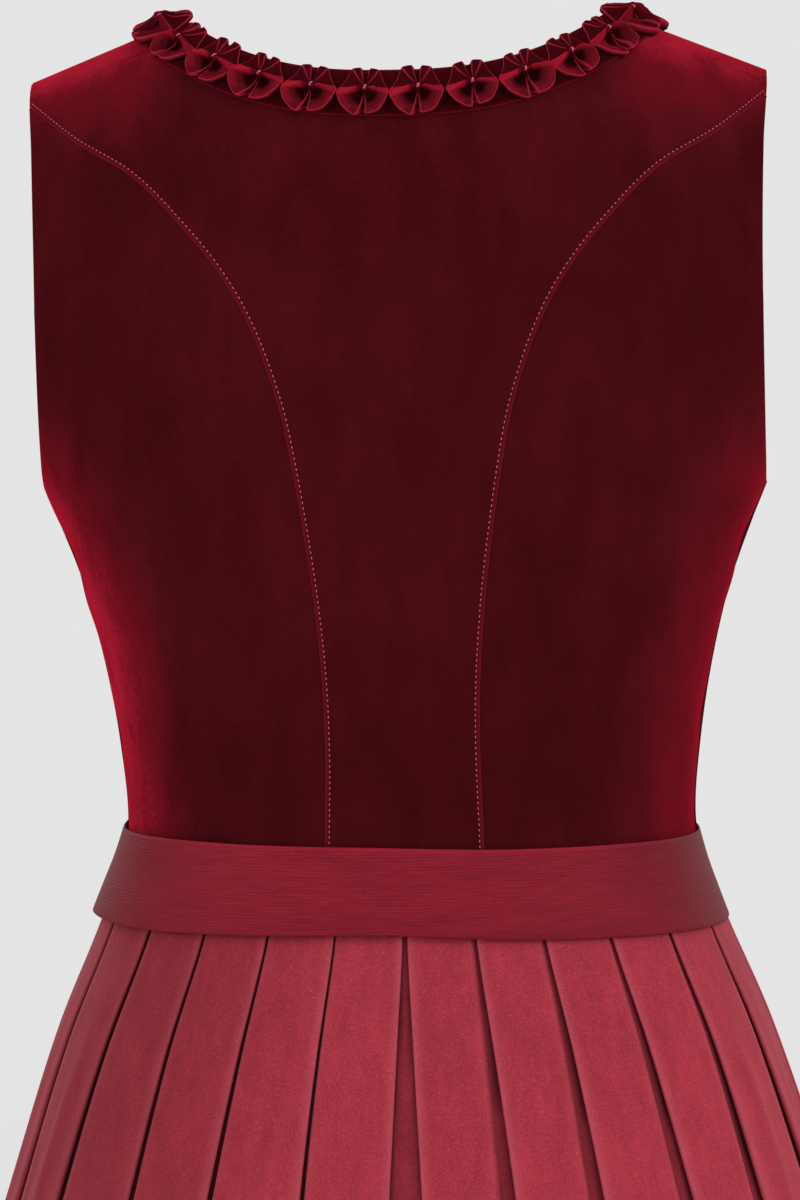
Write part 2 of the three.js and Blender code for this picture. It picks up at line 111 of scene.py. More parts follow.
# Skirt by height: the ring its underlay lies on, the opening at the centre back, the pleats' underlap,
# layer spacing and fold radius, and how far each face ends short of the next fold on either side
SKIRT = {
    "z": (-1112, -940, -790, -660, -560, -490, -440, -412.2),
    "half": (315, 288, 258, 226, 197.5, 175.5, 155.2, 145),
    "back": (270, 239, 207, 174, 144.5, 122, 102.6, 92.3),
    "front": (278, 246, 212.5, 178.5, 149, 128.2, 110.2, 100.3),
    "gap": (27, 23, 18, 13, 8.8, 4.8, 1.9, 1.4),
    "underlap": (3, 6, 9.5, 13, 16, 18, 19.5, 20),
    "layer": (7, 5.8, 4.6, 3.3, 2.2, 1.7, 1.3, 1.2),
    "roll": (5.6, 4.6, 3.6, 2.4, 1.5, 1.1, 0.8, 0.7),
    "left": (9, 7, 5, 3.6, 2.4, 1.8, 1.4, 1.3),
    "right": (18, 15, 12, 9, 6.4, 3.7, 1.7, 1.4),
}
FOLDS_PER_SIDE = 13
SEAM_FOLD = 7


# One ruched rosette of the neck trim, by direction round its knot in degrees clockwise from straight up:
# how far it reaches, and its rise at the knot's foot, on the way out, near the rim and at the rim
ROSETTE = (
    # turn, reach, foot, near, middle, far, rim
    (-6, 9.6, 4.0, 1.8, 1.4, 1.4, 1.4),
    (5, 9.6, 4.2, 1.8, 1.4, 1.4, 1.4),
    (11, 11.4, 4.6, 4.0, 3.6, 3.4, 3.2),
    (33, 12.5, 4.3, 3.2, 2.9, 3.0, 3.2),
    (48, 11.0, 4.2, 2.9, 2.3, 2.2, 2.1),
    (63, 10.4, 4.2, 2.8, 2.0, 1.8, 1.7),
    (80, 11.1, 4.5, 4.0, 3.0, 2.0, 1.6),
    (92, 12.4, 5.0, 6.0, 5.4, 3.8, 2.2),
    (101, 12.3, 4.9, 6.0, 6.2, 5.2, 3.6),
    (112, 12.2, 3.8, 1.4, 3.2, 4.8, 4.6),
    (133, 12.8, 3.0, 0.7, 1.8, 4.2, 5.2),
    (148, 14.0, 2.8, 0.8, 2.0, 4.2, 5.4),
    (162, 14.1, 3.0, 1.2, 2.4, 4.2, 5.0),
    (174, 13.7, 3.2, 1.6, 2.6, 3.8, 4.4),
    (178, 13.6, 3.0, 1.0, 1.8, 3.0, 3.8),
    (182, 11.0, 2.2, 0.4, 0.4, 0.4, 0.4),
    (188, 11.0, 2.2, 0.4, 0.4, 0.4, 0.4),
    (192, 14.8, 3.0, 0.8, 1.4, 3.0, 4.4),
    (199, 15.2, 3.0, 0.6, 1.6, 3.4, 5.0),
    (214, 14.4, 2.8, 0.5, 1.0, 3.6, 5.4),
    (232, 13.8, 2.8, 0.5, 1.0, 3.8, 5.4),
    (246, 13.3, 3.4, 0.8, 2.4, 5.0, 5.2),
    (258, 13.2, 4.6, 4.6, 5.8, 5.4, 4.0),
    (267, 13.3, 5.0, 6.2, 5.6, 4.0, 2.2),
    (280, 11.6, 4.5, 3.8, 2.8, 1.9, 1.6),
    (297, 10.5, 4.2, 2.8, 2.0, 1.8, 1.7),
    (312, 11.2, 4.2, 2.9, 2.3, 2.2, 2.1),
    (327, 12.6, 4.3, 3.2, 2.9, 3.0, 3.2),
    (349, 11.5, 4.6, 3.8, 3.4, 3.3, 3.2),
)

# Directions in which a rosette's cloth is folded to a thin edge
ROSETTE_FOLDS = (-12, 11, 33, 86, 176, 193, 273, 327)

# A rosette's patches of shade and light: first and last turn, first and last share of the way out, amount
ROSETTE_SHADE = (
    (-20, 20, 0.0, 1.3, 0.8),
    (12, 84, 0.1, 1.3, 0.62),
    (276, 350, 0.1, 1.3, 0.62),
    (108, 176, 0.1, 0.58, 1.0),
    (193, 250, 0.1, 0.6, 1.0),
    (179, 191, 0.0, 1.3, 1.0),
)
ROSETTE_LIGHT = (
    (86, 108, 0.15, 1.2, 0.6),
    (250, 274, 0.3, 1.2, 0.95),
    (110, 172, 0.8, 1.3, 0.15),
    (210, 250, 0.76, 1.3, 0.3),
)


# Settings


class BodiceSettings(bpy.types.PropertyGroup):
    wall: FloatProperty(
        name="Velvet thickness", description="Thickness of the velvet with its backing",
        default=BODICE_WALL * MM, unit="LENGTH",
    )
    welt_width: FloatProperty(
        name="Welt width", description="Width of the pressed edge along the princess seams",
        default=0.0023, unit="LENGTH",
    )
    stitch_pitch: FloatProperty(
        name="Stitch pitch", description="Distance from one topstitch to the next",
        default=0.0027, unit="LENGTH",
    )
    pile: FloatVectorProperty(
        name="Pile colour", description="Colour of the velvet seen straight on",
        default=(0.05, 0.0035, 0.0055), subtype="COLOR",
    )
    # Painted sheen: the colour painted down the sides and on the shoulders, where the velvet turns away
    brushed_sheen: FloatVectorProperty(
        name="Brushed colour", description="Colour of the velvet where its pile is brushed up",
        default=(0.16, 0.005, 0.013), subtype="COLOR",
    )
    pressed: FloatVectorProperty(
        name="Pressed colour", description="Colour of the velvet pressed flat along its seams",
        default=(0.09, 0.0044, 0.011), subtype="COLOR",
    )
    sheen: FloatVectorProperty(
        name="Sheen colour", description="Colour of the velvet's pile at grazing angles",
        default=(0.62, 0.008, 0.026), subtype="COLOR",
    )
    thread: FloatVectorProperty(
        name="Thread colour", description="Colour of the topstitching thread",
        default=(0.56, 0.12, 0.155), subtype="COLOR",
    )


class TrimSettings(bpy.types.PropertyGroup):
    units: IntProperty(
        name="Rosettes", description="Number of ruched rosettes round the neckline", default=32, min=4,
    )
    width: FloatProperty(
        name="Ribbon width", description="Width of the ruched velvet ribbon", default=0.025, unit="LENGTH",
    )
    pile: FloatVectorProperty(
        name="Pile colour", description="Colour of the ruched velvet seen straight on",
        default=(0.09, 0.0042, 0.0085), subtype="COLOR",
    )
    brow: FloatVectorProperty(
        name="Brow colour", description="Colour of the ruched velvet where it bulges up to the light",
        default=(0.34, 0.009, 0.024), subtype="COLOR",
    )
    # Worn pile along the fold edges, with a painted highlight
    fold: FloatVectorProperty(
        name="Fold colour", description="Colour of the ruched velvet along its fold edges",
        default=(0.4, 0.019, 0.044), subtype="COLOR",
    )


class RibbonSettings(bpy.types.PropertyGroup):
    wall: FloatProperty(
        name="Ribbon thickness", description="Thickness of the waist ribbon", default=0.0012, unit="LENGTH",
    )
    lap: FloatProperty(
        name="Lap", description="How far the ribbon's free end laps over the other", default=0.042,
        unit="LENGTH",
    )
    colour: FloatVectorProperty(
        name="Ribbon colour", description="Colour of the waist ribbon", default=(0.2, 0.009, 0.02),
        subtype="COLOR",
    )


class SkirtSettings(bpy.types.PropertyGroup):
    wall: FloatProperty(
        name="Cloth thickness", description="Thickness of the skirt's cloth", default=0.001, unit="LENGTH",
    )
    rows: IntProperty(
        name="Rows", description="Rows of faces from the waist to the hem", default=72, min=8,
    )
    colour: FloatVectorProperty(
        name="Skirt colour", description="Colour of the skirt's twill", default=(0.34, 0.0275, 0.046),
        subtype="COLOR",
    )
    # Lint specks of the twill, and the painted highlight along the pleats' fold edges
    lint_and_highlight: FloatVectorProperty(
        name="Lint colour", description="Colour of the twill's raised specks and fold edges",
        default=(0.5, 0.1, 0.135), subtype="COLOR",
    )


class StageSettings(bpy.types.PropertyGroup):
    distance: FloatProperty(
        name="Camera distance", description="Distance of the camera from the garment's centre line",
        default=2.6, unit="LENGTH",
    )
    drop: FloatProperty(
        name="Floor depth", description="Distance of the floor below the shoulders", default=1.4,
        unit="LENGTH",
    )
    paper: FloatVectorProperty(
        name="Floor colour", description="Colour of the floor", default=(0.86, 0.86, 0.86), subtype="COLOR",
    )


# Curves and tables


def smooth_value(table, key, at):
    """Smooth value of a table's column at heights, or at turns round a rosette."""
    base = "z" if "z" in table else "turn"
    knots, values = np.array(table[base], float), np.array(table[key], float)
    at = np.clip(np.asarray(at, float), knots[0], knots[-1])
    i = np.clip(np.searchsorted(knots, at, side="right") - 1, 0, len(knots) - 2)
    slopes = np.empty_like(values)
    slopes[1:-1] = (values[2:] - values[:-2]) / (knots[2:] - knots[:-2])
    slopes[0] = (values[1] - values[0]) / (knots[1] - knots[0])
    slopes[-1] = (values[-1] - values[-2]) / (knots[-1] - knots[-2])
    span = knots[i + 1] - knots[i]
    t = (at - knots[i]) / span
    t2, t3 = t * t, t * t * t
    return (
        (2 * t3 - 3 * t2 + 1) * values[i]
        + (t3 - 2 * t2 + t) * span * slopes[i]
        + (3 * t2 - 2 * t3) * values[i + 1]
        + (t3 - t2) * span * slopes[i + 1]
    )


def smoothstep(x, low, high):
    t = np.clip((x - low) / (high - low), 0, 1)
    return t * t * (3 - 2 * t)


def bump(x, width):
    """A soft bell of height 1."""
    return np.exp(-((x / width) ** 2))


def distances(points):
    """Distance along a polyline at each of its points."""
    return np.concatenate([[0], np.cumsum(np.linalg.norm(np.diff(points, axis=0), axis=1))])


def even_curve(points, count):
    """The same curve as count evenly spaced points; two columns or three."""
    at = distances(points)
    where = np.linspace(0, at[-1], count)
    return np.stack([np.interp(where, at, points[:, k]) for k in range(points.shape[1])], axis=1)


# The garment's surface


def shoulder_z(x):
    slope = SHOULDER_Z_AT_NECK + (NECK_HALF_WIDTH - np.abs(x)) * SHOULDER_SLOPE
    above = (SHOULDER_CROWN_Z - slope) / CROWN_SOFTNESS
    return SHOULDER_CROWN_Z - CROWN_SOFTNESS * np.log1p(np.exp(above))


def fullness(x, half):
    share = np.clip(1 - (np.abs(x) / half) ** SECTION_POWER, 0, 1)
    return share ** (1 / SECTION_POWER)


def bodice_point(side, turn, level):
    """Surface point from the angle round the section and the level: -1.9 at the waist, 0 at the chest and
    1 on the shoulder line."""
    z = CHEST_Z + np.minimum(level, 0) * DOME_SPAN
    tilt = np.clip(level, 0, 1) * math.pi / 2
    power = 2 / SECTION_POWER
    half, depth = smooth_value(TORSO, "half", z), smooth_value(TORSO, side, z)
    x = half * np.sign(np.sin(turn)) * np.abs(np.sin(turn)) ** power
    y = depth * np.abs(np.cos(turn)) ** power * np.cos(tilt) * (1 if side == "back" else -1)
    z = z + (shoulder_z(x) - CHEST_Z) * np.sin(tilt)
    return np.stack([x, y, z], axis=-1)


def pattern_place(x, z):
    """Angle and level of the surface point that lies at x and z, seen along Y."""
    half = smooth_value(TORSO, "half", np.minimum(z, CHEST_Z))
    turn = np.arcsin(np.clip(x / half, 0, 1) ** (SECTION_POWER / 2))
    rise = np.clip((z - CHEST_Z) / (shoulder_z(x) - CHEST_Z), 0, 1)
    level = np.where(z < CHEST_Z, (z - CHEST_Z) / DOME_SPAN, np.arcsin(rise) / (math.pi / 2))
    return np.stack([turn, level], axis=-1)


def neckline_z(side, x):
    low, power = NECKLINE[side]["low"], NECKLINE[side]["power"]
    rise = shoulder_z(NECK_HALF_WIDTH) - low
    return low + rise * np.minimum(1, np.abs(x) / NECK_HALF_WIDTH) ** power


def outside(p):
    """How far points lie outside the bodice, 0 on its surface."""
    z = np.minimum(p[:, 2], CHEST_Z)
    depth = np.where(p[:, 1] >= 0, smooth_value(TORSO, "back", z), smooth_value(TORSO, "front", z))
    depth = depth * np.maximum(fullness(p[:, 0], smooth_value(TORSO, "half", z)), 0.02)
    rise = np.maximum(0, (p[:, 2] - CHEST_Z) / (shoulder_z(p[:, 0]) - CHEST_Z))
    return np.hypot(p[:, 1] / depth, rise) - 1


def outwards(p):
    """Steepest way out of the bodice at points."""
    step = 0.05
    slopes = []
    for axis in range(3):
        shift = np.zeros(3)
        shift[axis] = step
        slopes.append((outside(p + shift) - outside(p - shift)) / (2 * step))
    return np.stack(slopes, axis=1)


def unit(v):
    return v / np.maximum(np.linalg.norm(v, axis=-1, keepdims=True), 1e-9)


def settle(p):
    """Nearby points moved onto the bodice's surface, with its normals there."""
    for _ in range(6):
        steepest = outwards(p)
        p = p - steepest * (outside(p) / (steepest**2).sum(axis=1))[:, None]
    return p, unit(outwards(p))


# Meshes


def make_object(name, points, faces, material, attributes=None):
    """A mesh object from points in millimetres, with named values on its points."""
    mesh = bpy.data.meshes.new(name)
    mesh.from_pydata((np.asarray(points) * MM).tolist(), [], [list(f) for f in faces])
    mesh.validate()
    mesh.update()
    for key, values in (attributes or {}).items():
        mesh.attributes.new(key, "FLOAT", "POINT").data.foreach_set("value", np.asarray(values, "f"))
    mesh.polygons.foreach_set("use_smooth", [True] * len(mesh.polygons))
    mesh.materials.append(material)
    thing = bpy.data.objects.new(name, mesh)
    bpy.context.scene.collection.objects.link(thing)
    return thing


def grid_faces(rows, columns, first=0, wrap=False, flip=False):
    """Quads of a grid of points stored row by row."""
    r, c = np.meshgrid(np.arange(rows - 1), np.arange(columns if wrap else columns - 1), indexing="ij")
    n = (c + 1) % columns
    quads = np.stack([r * columns + c, r * columns + n, (r + 1) * columns + n, (r + 1) * columns + c], -1)
    quads = quads.reshape(-1, 4) + first
    return quads[:, ::-1] if flip else quads


def grid_normals(grid):
    across = np.gradient(grid, axis=1)
    up = np.gradient(grid, axis=0)
    return unit(np.cross(across, up))


def edge_loop(faces):
    """Points on the one open edge of a mesh of quads, in order."""
    starts = np.concatenate([faces[:, k] for k in range(4)])
    ends = np.concatenate([faces[:, (k + 1) % 4] for k in range(4)])
    used = set(zip(starts.tolist(), ends.tolist()))
    following = {a: b for a, b in used if (b, a) not in used}
    loop = [min(following)]
    while following[loop[-1]] != loop[0]:
        loop.append(following[loop[-1]])
    return np.array(loop)


def shell(points, normals, faces, wall, rim_steps=3):
    """Closed thin shell on outer points and quads: the inner face lies a wall's thickness behind them and
    the edge is rounded. Returns points and faces; the rim's points come last."""
    inner = points - normals * wall
    count = len(points)
    loop = edge_loop(faces)
    edge, back = points[loop], inner[loop]
    along = unit(np.roll(edge, -1, axis=0) - np.roll(edge, 1, axis=0))
    out = unit(np.cross(along, normals[loop]))
    middle = (edge + back) / 2
    rings, rim, first = [loop], [], 2 * count
    for k in range(1, rim_steps + 1):
        angle = math.pi * k / (rim_steps + 1)
        rim.append(middle + (edge - middle) * math.cos(angle) + out * (wall / 2) * math.sin(angle))
        rings.append(first + np.arange(len(loop)))
        first += len(loop)
    rings.append(count + loop)
    quads = [faces, faces[:, ::-1] + count]
    for near, far in zip(rings, rings[1:]):
        quads.append(np.stack([near, far, np.roll(far, -1), np.roll(near, -1)], 1))
    return np.concatenate([points, inner, *rim]), np.concatenate(quads)


def even_on_surface(side, places, count):
    """A boundary curve of angle and level, spaced evenly on the garment."""
    at = distances(bodice_point(side, places[:, 0], places[:, 1]))
    where = np.linspace(0, at[-1], count)
    return np.stack([np.interp(where, at, places[:, k]) for k in range(2)], axis=1)


def even_pieces(side, curves, counts):
    """Several boundary curves end to end, each spaced evenly with its own number of steps."""
    runs = [even_on_surface(side, curve, count + 1)[:-1] for curve, count in zip(curves, counts)]
    return np.concatenate([*runs, curves[-1][-1:]])


def ruled(left, right, columns):
    """Grid of angles and levels between two boundary curves with the same number of points."""
    u = np.linspace(0, 1, columns)[None, :, None]
    return left[:, None] * (1 - u) + right[:, None] * u


# Shader maths


class Sock:
    """A shader value, colour or vector that can be used in Python expressions."""

    def __init__(self, tree, socket, kind="value"):
        self.tree, self.socket, self.kind = tree, socket, kind

    def _math(self, operation, *others):
        if self.kind != "value":
            return self._vector(operation, *others)
        return self.tree.node("ShaderNodeMath", {"operation": operation}, [self, *others])

    def _vector(self, operation, *others):
        values = [self, *others]
        return self.tree.node("ShaderNodeVectorMath", {"operation": operation}, values, kind="vector")

    def __add__(self, other):
        return self._math("ADD", other)

    def __sub__(self, other):
        return self._math("SUBTRACT", other)

    def __rsub__(self, other):
        return self.tree.node("ShaderNodeMath", {"operation": "SUBTRACT"}, [other, self])

    def __mul__(self, other):
        return self._math("MULTIPLY", other)

    __radd__ = __add__
    __rmul__ = __mul__

    def length(self):
        """Length of a vector."""
        return self.tree.node("ShaderNodeVectorMath", {"operation": "LENGTH"}, [self], output="Value")

    def clamp(self, low=0.0, high=1.0):
        return self._math("MAXIMUM", low)._math("MINIMUM", high)

    def blend(self, low, high):
        """The first colour where this value is 0, the second where it is 1."""
        return self.tree.node(
            "ShaderNodeMix", {"data_type": "RGBA"}, {0: self, 6: low, 7: high}, output=2, kind="vector"
        )

    def ramp(self, low, high):
        """0 below one value and 1 above the other."""
        return self.tree.node(
            "ShaderNodeMapRange", {"interpolation_type": "SMOOTHSTEP"}, {0: self, 1: low, 2: high}
        )


class Finish:
    """A material with one principled shader, made by expressions on its sockets."""

    def __init__(self, name, **constants):
        self.material = bpy.data.materials.new(name)
        self.material.use_nodes = True
        self.nodes = self.material.node_tree.nodes
        self.links = self.material.node_tree.links
        self.shader = self.nodes["Principled BSDF"]
        for key, value in constants.items():
            wanted = key.replace("_", " ").title().replace("Ior", "IOR")
            self.shader.inputs[wanted].default_value = (*value, 1) if hasattr(value, "__len__") else value

    def node(self, kind_of_node, settings=None, values=(), output=0, kind="value"):
        made = self.nodes.new(kind_of_node)
        for key, value in (settings or {}).items():
            setattr(made, key, value)
        pairs = values.items() if isinstance(values, dict) else enumerate(values)
        for key, value in pairs:
            self.put(made.inputs[key], value)
        return Sock(self, made.outputs[output], kind)

    def put(self, slot, value):
        if isinstance(value, Sock):
            self.links.new(value.socket, slot)
        elif hasattr(value, "__len__") and len(slot.default_value) == 4:
            slot.default_value = (*value[:3], 1)
        elif hasattr(slot.default_value, "__len__") and not hasattr(value, "__len__"):
            slot.default_value = (value,) * len(slot.default_value)
        else:
            slot.default_value = value

    def place(self):
        return self.node("ShaderNodeTexCoord", output="Object", kind="vector")

    def mark(self, name):
        return self.node("ShaderNodeAttribute", {"attribute_name": name}, output="Fac")

    def noise(self, where, scale, detail=3.0, roughness=0.55):
        values = {"Vector": where, "Scale": scale, "Detail": detail, "Roughness": roughness}
        return self.node("ShaderNodeTexNoise", {}, values, output="Fac")

    def wave(self, where, scale, direction, distortion=0.0, detail_scale=1.0):
        settings = {"wave_type": "BANDS", "bands_direction": direction}
        values = {
            "Vector": where, "Scale": scale, "Distortion": distortion, "Detail": 1.0,
            "Detail Scale": detail_scale,
        }
        return self.node("ShaderNodeTexWave", settings, values, output="Fac")

    def stretch(self, where, factors):
        return where._vector("MULTIPLY", factors)

    def colour(self, value):
        self.put(self.shader.inputs["Base Color"], value)

    def roughness(self, value):
        self.put(self.shader.inputs["Roughness"], value)

    def relief(self, height, depth_mm, strength=1.0):
        values = {"Height": height, "Distance": depth_mm * MM, "Strength": strength}
        made = self.node("ShaderNodeBump", {}, values, output="Normal", kind="vector")
        self.put(self.shader.inputs["Normal"], made)


def scaled(colour, factor):
    return tuple(min(1.0, c * factor) for c in colour)


def bodice_velvet(settings):
    """Cut pile: dark where faced, lighter and darker in soft patches; painted sheen and welt highlights."""
    finish = Finish(
        "bodice_velvet", roughness=0.9, sheen_weight=0.8, sheen_roughness=0.26, sheen_tint=settings.sheen,
        specular_ior_level=0.0,
    )
    place = finish.place()
    patches = finish.noise(place, 9.0, 3.0, 0.5).ramp(0.34, 0.68)
    brushed_sheen = finish.noise(finish.stretch(place, (1.0, 1.0, 0.35)), 60.0, 2.0, 0.5)
    crushed = finish.noise(place, 420.0, 2.0, 0.6)
    pile = finish.noise(place, 3200.0, 1.0, 0.5)
    lights = patches * 0.45 + brushed_sheen.ramp(0.3, 0.7) * 0.3 + crushed.ramp(0.25, 0.75) * 0.25
    colour = lights.blend(scaled(settings.pile, 0.75), scaled(settings.pile, 1.35))
    # Painted sheen down the sides and on the shoulders, broken up by the patches, towards twice the colour
    # where strongest
    painted_sheen_amount = finish.mark("glow") * (lights * 1.3 + 0.35)
    colour = painted_sheen_amount.clamp().blend(colour, settings.brushed_sheen)
    colour = (painted_sheen_amount - 0.8).clamp().blend(colour, scaled(settings.brushed_sheen, 2.0))
    # Pressed velvet on the welts, and above 1 a painted highlight along their outer side
    edge = finish.mark("edge")
    pressed = edge.clamp().blend(colour, settings.pressed)
    finish.colour((edge - 1).clamp().blend(pressed, scaled(settings.pressed, 2.0)))
    finish.relief(pile * 0.5 + crushed * 0.5 + brushed_sheen * 0.6, 0.35, 0.55)
    return finish.material


def trim_velvet(settings, sheen):
    """The same pile, ruched: painted light on its brows and worn fold edges, painted shade in its hollows."""
    finish = Finish(
        "trim_velvet", roughness=0.85, sheen_weight=0.25, sheen_roughness=0.28, sheen_tint=sheen,
        specular_ior_level=0.0,
    )
    place = finish.place()
    crushed = finish.noise(place, 500.0, 2.0, 0.6)
    patches = finish.noise(place, 90.0, 2.0, 0.5)
    pile = finish.noise(place, 3200.0, 1.0, 0.5)
    base = (patches * 0.6 + crushed * 0.4).blend(scaled(settings.pile, 0.7), scaled(settings.pile, 1.4))
    # Painted highlight on the brows, painted shade in the hollows, and the worn fold edges painted lighter
    # still
    lit = (finish.mark("brow") * (crushed * 0.6 + 0.7)).clamp().blend(base, settings.brow)
    shaded = (finish.mark("hollow") * 0.94).clamp().blend(lit, scaled(settings.pile, 0.1))
    fold = (finish.mark("fold") * (crushed * 0.7 + 0.65)).clamp()
    finish.colour(fold.blend(shaded, settings.fold))
    finish.relief(pile * 0.5 + crushed * 0.5, 0.3, 0.5)
    return finish.material


def ribbon_faille(settings):
    """Ribbed ribbon: fine uneven ribs along it, lighter top edge, painted shade at sides and bottom, soft
    lustre.
    """
    finish = Finish(
        "ribbon_faille", roughness=0.55, sheen_weight=0.1, sheen_roughness=0.4,
        sheen_tint=scaled(settings.colour, 2.0), specular_ior_level=0.06,
    )
    place = finish.place()
    drift = finish.noise(finish.stretch(place, (1.0, 1.0, 6.0)), 24.0, 3.0, 0.6)
    slub = finish.noise(finish.stretch(place, (1.0, 1.0, 22.0)), 70.0, 3.0, 0.6)
    ribs = finish.wave(place, 210.0, "Z", 3.0, 8.0)
    threads = finish.noise(finish.stretch(place, (1.0, 1.0, 5.0)), 900.0, 2.0, 0.5)
    fleck = finish.noise(finish.stretch(place, (1.0, 1.0, 7.0)), 190.0, 2.0, 0.5).ramp(0.64, 0.74)
    mixed = slub * 0.5 + drift * 0.3 + ribs * 0.12 + threads * 0.08
    colour = mixed.ramp(0.3, 0.7).blend(scaled(settings.colour, 0.74), scaled(settings.colour, 1.28))
    light = (finish.mark("edge").clamp() * 0.8 + fleck * 0.35).clamp()
    lit = light.blend(colour, scaled(settings.colour, 1.9))
    finish.colour(finish.mark("shade").clamp().blend(lit, scaled(settings.colour, 0.5)))
    finish.roughness(slub * 0.2 + 0.45)
    finish.relief(ribs * 0.5 + slub * 0.8 + threads * 0.4, 0.35, 0.5)
    return finish.material


def skirt_twill(settings):
    """Fine twill: speckled yarn, faint streaks down the cloth, soft sheen, painted fold highlights and
    painted shade.
    """
    finish = Finish(
        "skirt_twill", roughness=0.85, sheen_weight=0.15, sheen_roughness=0.5,
        sheen_tint=(0.9, 0.4, 0.44), specular_ior_level=0.08,
    )
    place = finish.place()
    streaks = finish.noise(finish.stretch(place, (1.0, 1.0, 0.06)), 130.0, 3.0, 0.6)
    shade = finish.noise(place, 7.0, 2.0, 0.5)
    speckle = finish.noise(place, 1150.0, 1.0, 0.5)
    lint_and_highlight = finish.noise(place, 640.0, 2.0, 0.6).ramp(0.6, 0.74)
    twill = finish.wave(finish.stretch(place, (1.0, 1.0, 0.8)), 620.0, "DIAGONAL", 1.2, 3.0)
    mixed = streaks * 0.3 + shade * 0.2 + speckle * 0.5
    colour = mixed.ramp(0.3, 0.7).blend(scaled(settings.colour, 0.72), scaled(settings.colour, 1.25))
    # Lint specks, and a painted highlight along the fold edges
    light = (lint_and_highlight * 0.3 + finish.mark("fold").clamp() * 0.4).clamp()
    lit = light.blend(colour, settings.lint_and_highlight)
    # Painted shade in the folds and round the sides
    finish.colour((finish.mark("shade") * 0.92).clamp().blend(lit, scaled(settings.colour, 0.14)))
    finish.relief(twill * 0.35 + speckle * 0.5 + streaks * 0.4, 0.3, 0.5)
    return finish.material


def stitch_thread(colour):
    finish = Finish("stitch_thread", roughness=0.6, specular_ior_level=0.1)
    strands = finish.noise(finish.place(), 2500.0, 1.0, 0.5)
    finish.colour(strands.blend(scaled(colour, 0.7), scaled(colour, 1.25)))
    finish.relief(strands, 0.1, 0.5)
    return finish.material


def studio_paper(colour):
    finish = Finish("studio_paper", roughness=0.9, specular_ior_level=0.1)
    place = finish.place()
    grain = finish.noise(place, 40.0, 3.0, 0.6)
    finish.colour(grain.blend(scaled(colour, 0.985), colour))
    finish.put(finish.shader.inputs["Alpha"], 1.0 - place.length().ramp(2.0, 6.0))
    return finish.material


# Bodice

PANEL_ROWS = 120
PANEL_COLUMNS = 56

# Share of a panel's rows that lie below its neckline, below its armhole's start and below the underarm
ROWS_TO_NECK = {"back": 0.7, "front": 0.6}
ROWS_TO_ARM = {"back": 0.97, "front": 0.8}
ROWS_TO_UNDERARM = {"back": 0.46, "front": 0.58}

# Height at which the armhole's table is read for its place on the shoulder
ARM_TOP_Z = -16.0

# Width of the bare margin beside a seam, in which no crease lies
SEAM_MARGIN = 12

# How much a crease bends away from a straight line, for each square millimetre along it
CREASE_BEND = 0.0035

# Draws points in a little, because a crease can push them past the section's half width
DRAWN_IN = (0.985, 1, 1)


def table_curve(table, count=80):
    z = np.linspace(table["z"][0], table["z"][-1], count)
    return smooth_value(table, "x", z), z


def princess_line(side, count=80):
    """A princess seam from the waist up to where it runs out at the armhole."""
    x, z = table_curve(PRINCESS[side], count)
    further = np.linspace(0, 14, 57)[1:]
    on_x = x[-1] + further
    on_z = z[-1] + further * (z[-1] - z[-3]) / (x[-1] - x[-3])
    outside_arm = on_x >= smooth_value(ARMHOLE[side], "x", on_z)
    last = int(np.argmax(outside_arm)) + 1 if outside_arm.any() else 0
    if x[-1] >= smooth_value(ARMHOLE[side], "x", z[-1]):
        last = 0
    return np.concatenate([x, on_x[:last]]), np.concatenate([z, on_z[:last]])


def underarm_height(side):
    """Where the armhole's edge meets the side of the garment."""
    z = np.linspace(UNDERARM_Z, CHEST_Z, 400)
    gap = smooth_value(TORSO, "half", z) - smooth_value(ARMHOLE[side], "x", z)
    return float(z[np.argmax(gap >= 0)])


def middle_panel(side):
    """Half of the panel between the princess seams, from the centre line outwards, and the row at which its
    neckline begins."""
    start = 0.0 if side == "back" else SEAM_GAP / 2
    seam_x, seam_z = princess_line(side)
    tip_z = shoulder_z(smooth_value(ARMHOLE[side], "x", ARM_TOP_Z))
    arm_z = np.linspace(seam_z[-1], tip_z, 12)
    seam = pattern_place(seam_x - SEAM_GAP / 2, seam_z)
    arm = pattern_place(smooth_value(ARMHOLE[side], "x", arm_z), arm_z)
    arm[0] = seam[-1]
    arm[-1, 1] = 1.0
    neck_x = start + (NECK_HALF_WIDTH - start) * np.sin(np.linspace(0, math.pi / 2, 60))
    neck = pattern_place(neck_x, neckline_z(side, neck_x))
    neck[-1, 1] = 1.0
    middle_z = np.linspace(WAIST_SEAM_Z + SEAM_GAP / 2, neckline_z(side, 0.0), 60)
    middle = pattern_place(np.full(60, start), middle_z)
    middle[-1] = neck[0]
    lower = round(PANEL_ROWS * ROWS_TO_NECK[side])
    upper = round(PANEL_ROWS * ROWS_TO_ARM[side])
    left = even_pieces(side, [middle, neck], [lower, PANEL_ROWS - lower])
    right = even_pieces(side, [seam, arm], [upper, PANEL_ROWS - upper])
    return ruled(left, right, PANEL_COLUMNS), lower


def side_panel(side):
    """Panel between a princess seam and the side seam, its top cut away by the armhole."""
    seam_x, seam_z = princess_line(side)
    seam = pattern_place(seam_x + SEAM_GAP / 2, seam_z - SEAM_GAP / 2)
    underarm = underarm_height(side)
    arm_z = np.linspace(underarm, seam_z[-1] - 0.8, 80)
    arm = pattern_place(smooth_value(ARMHOLE[side], "x", arm_z), arm_z)
    side_z = np.linspace(seam_z[0], underarm, 60)
    flank = np.stack([np.full(60, math.pi / 2), (side_z - CHEST_Z) / DOME_SPAN], 1)
    arm[0] = flank[-1]
    lower = round(PANEL_ROWS * ROWS_TO_UNDERARM[side])
    left = even_on_surface(side, seam, PANEL_ROWS + 1)
    right = even_pieces(side, [flank, arm], [lower, PANEL_ROWS - lower])
    return ruled(left, right, PANEL_COLUMNS), 0


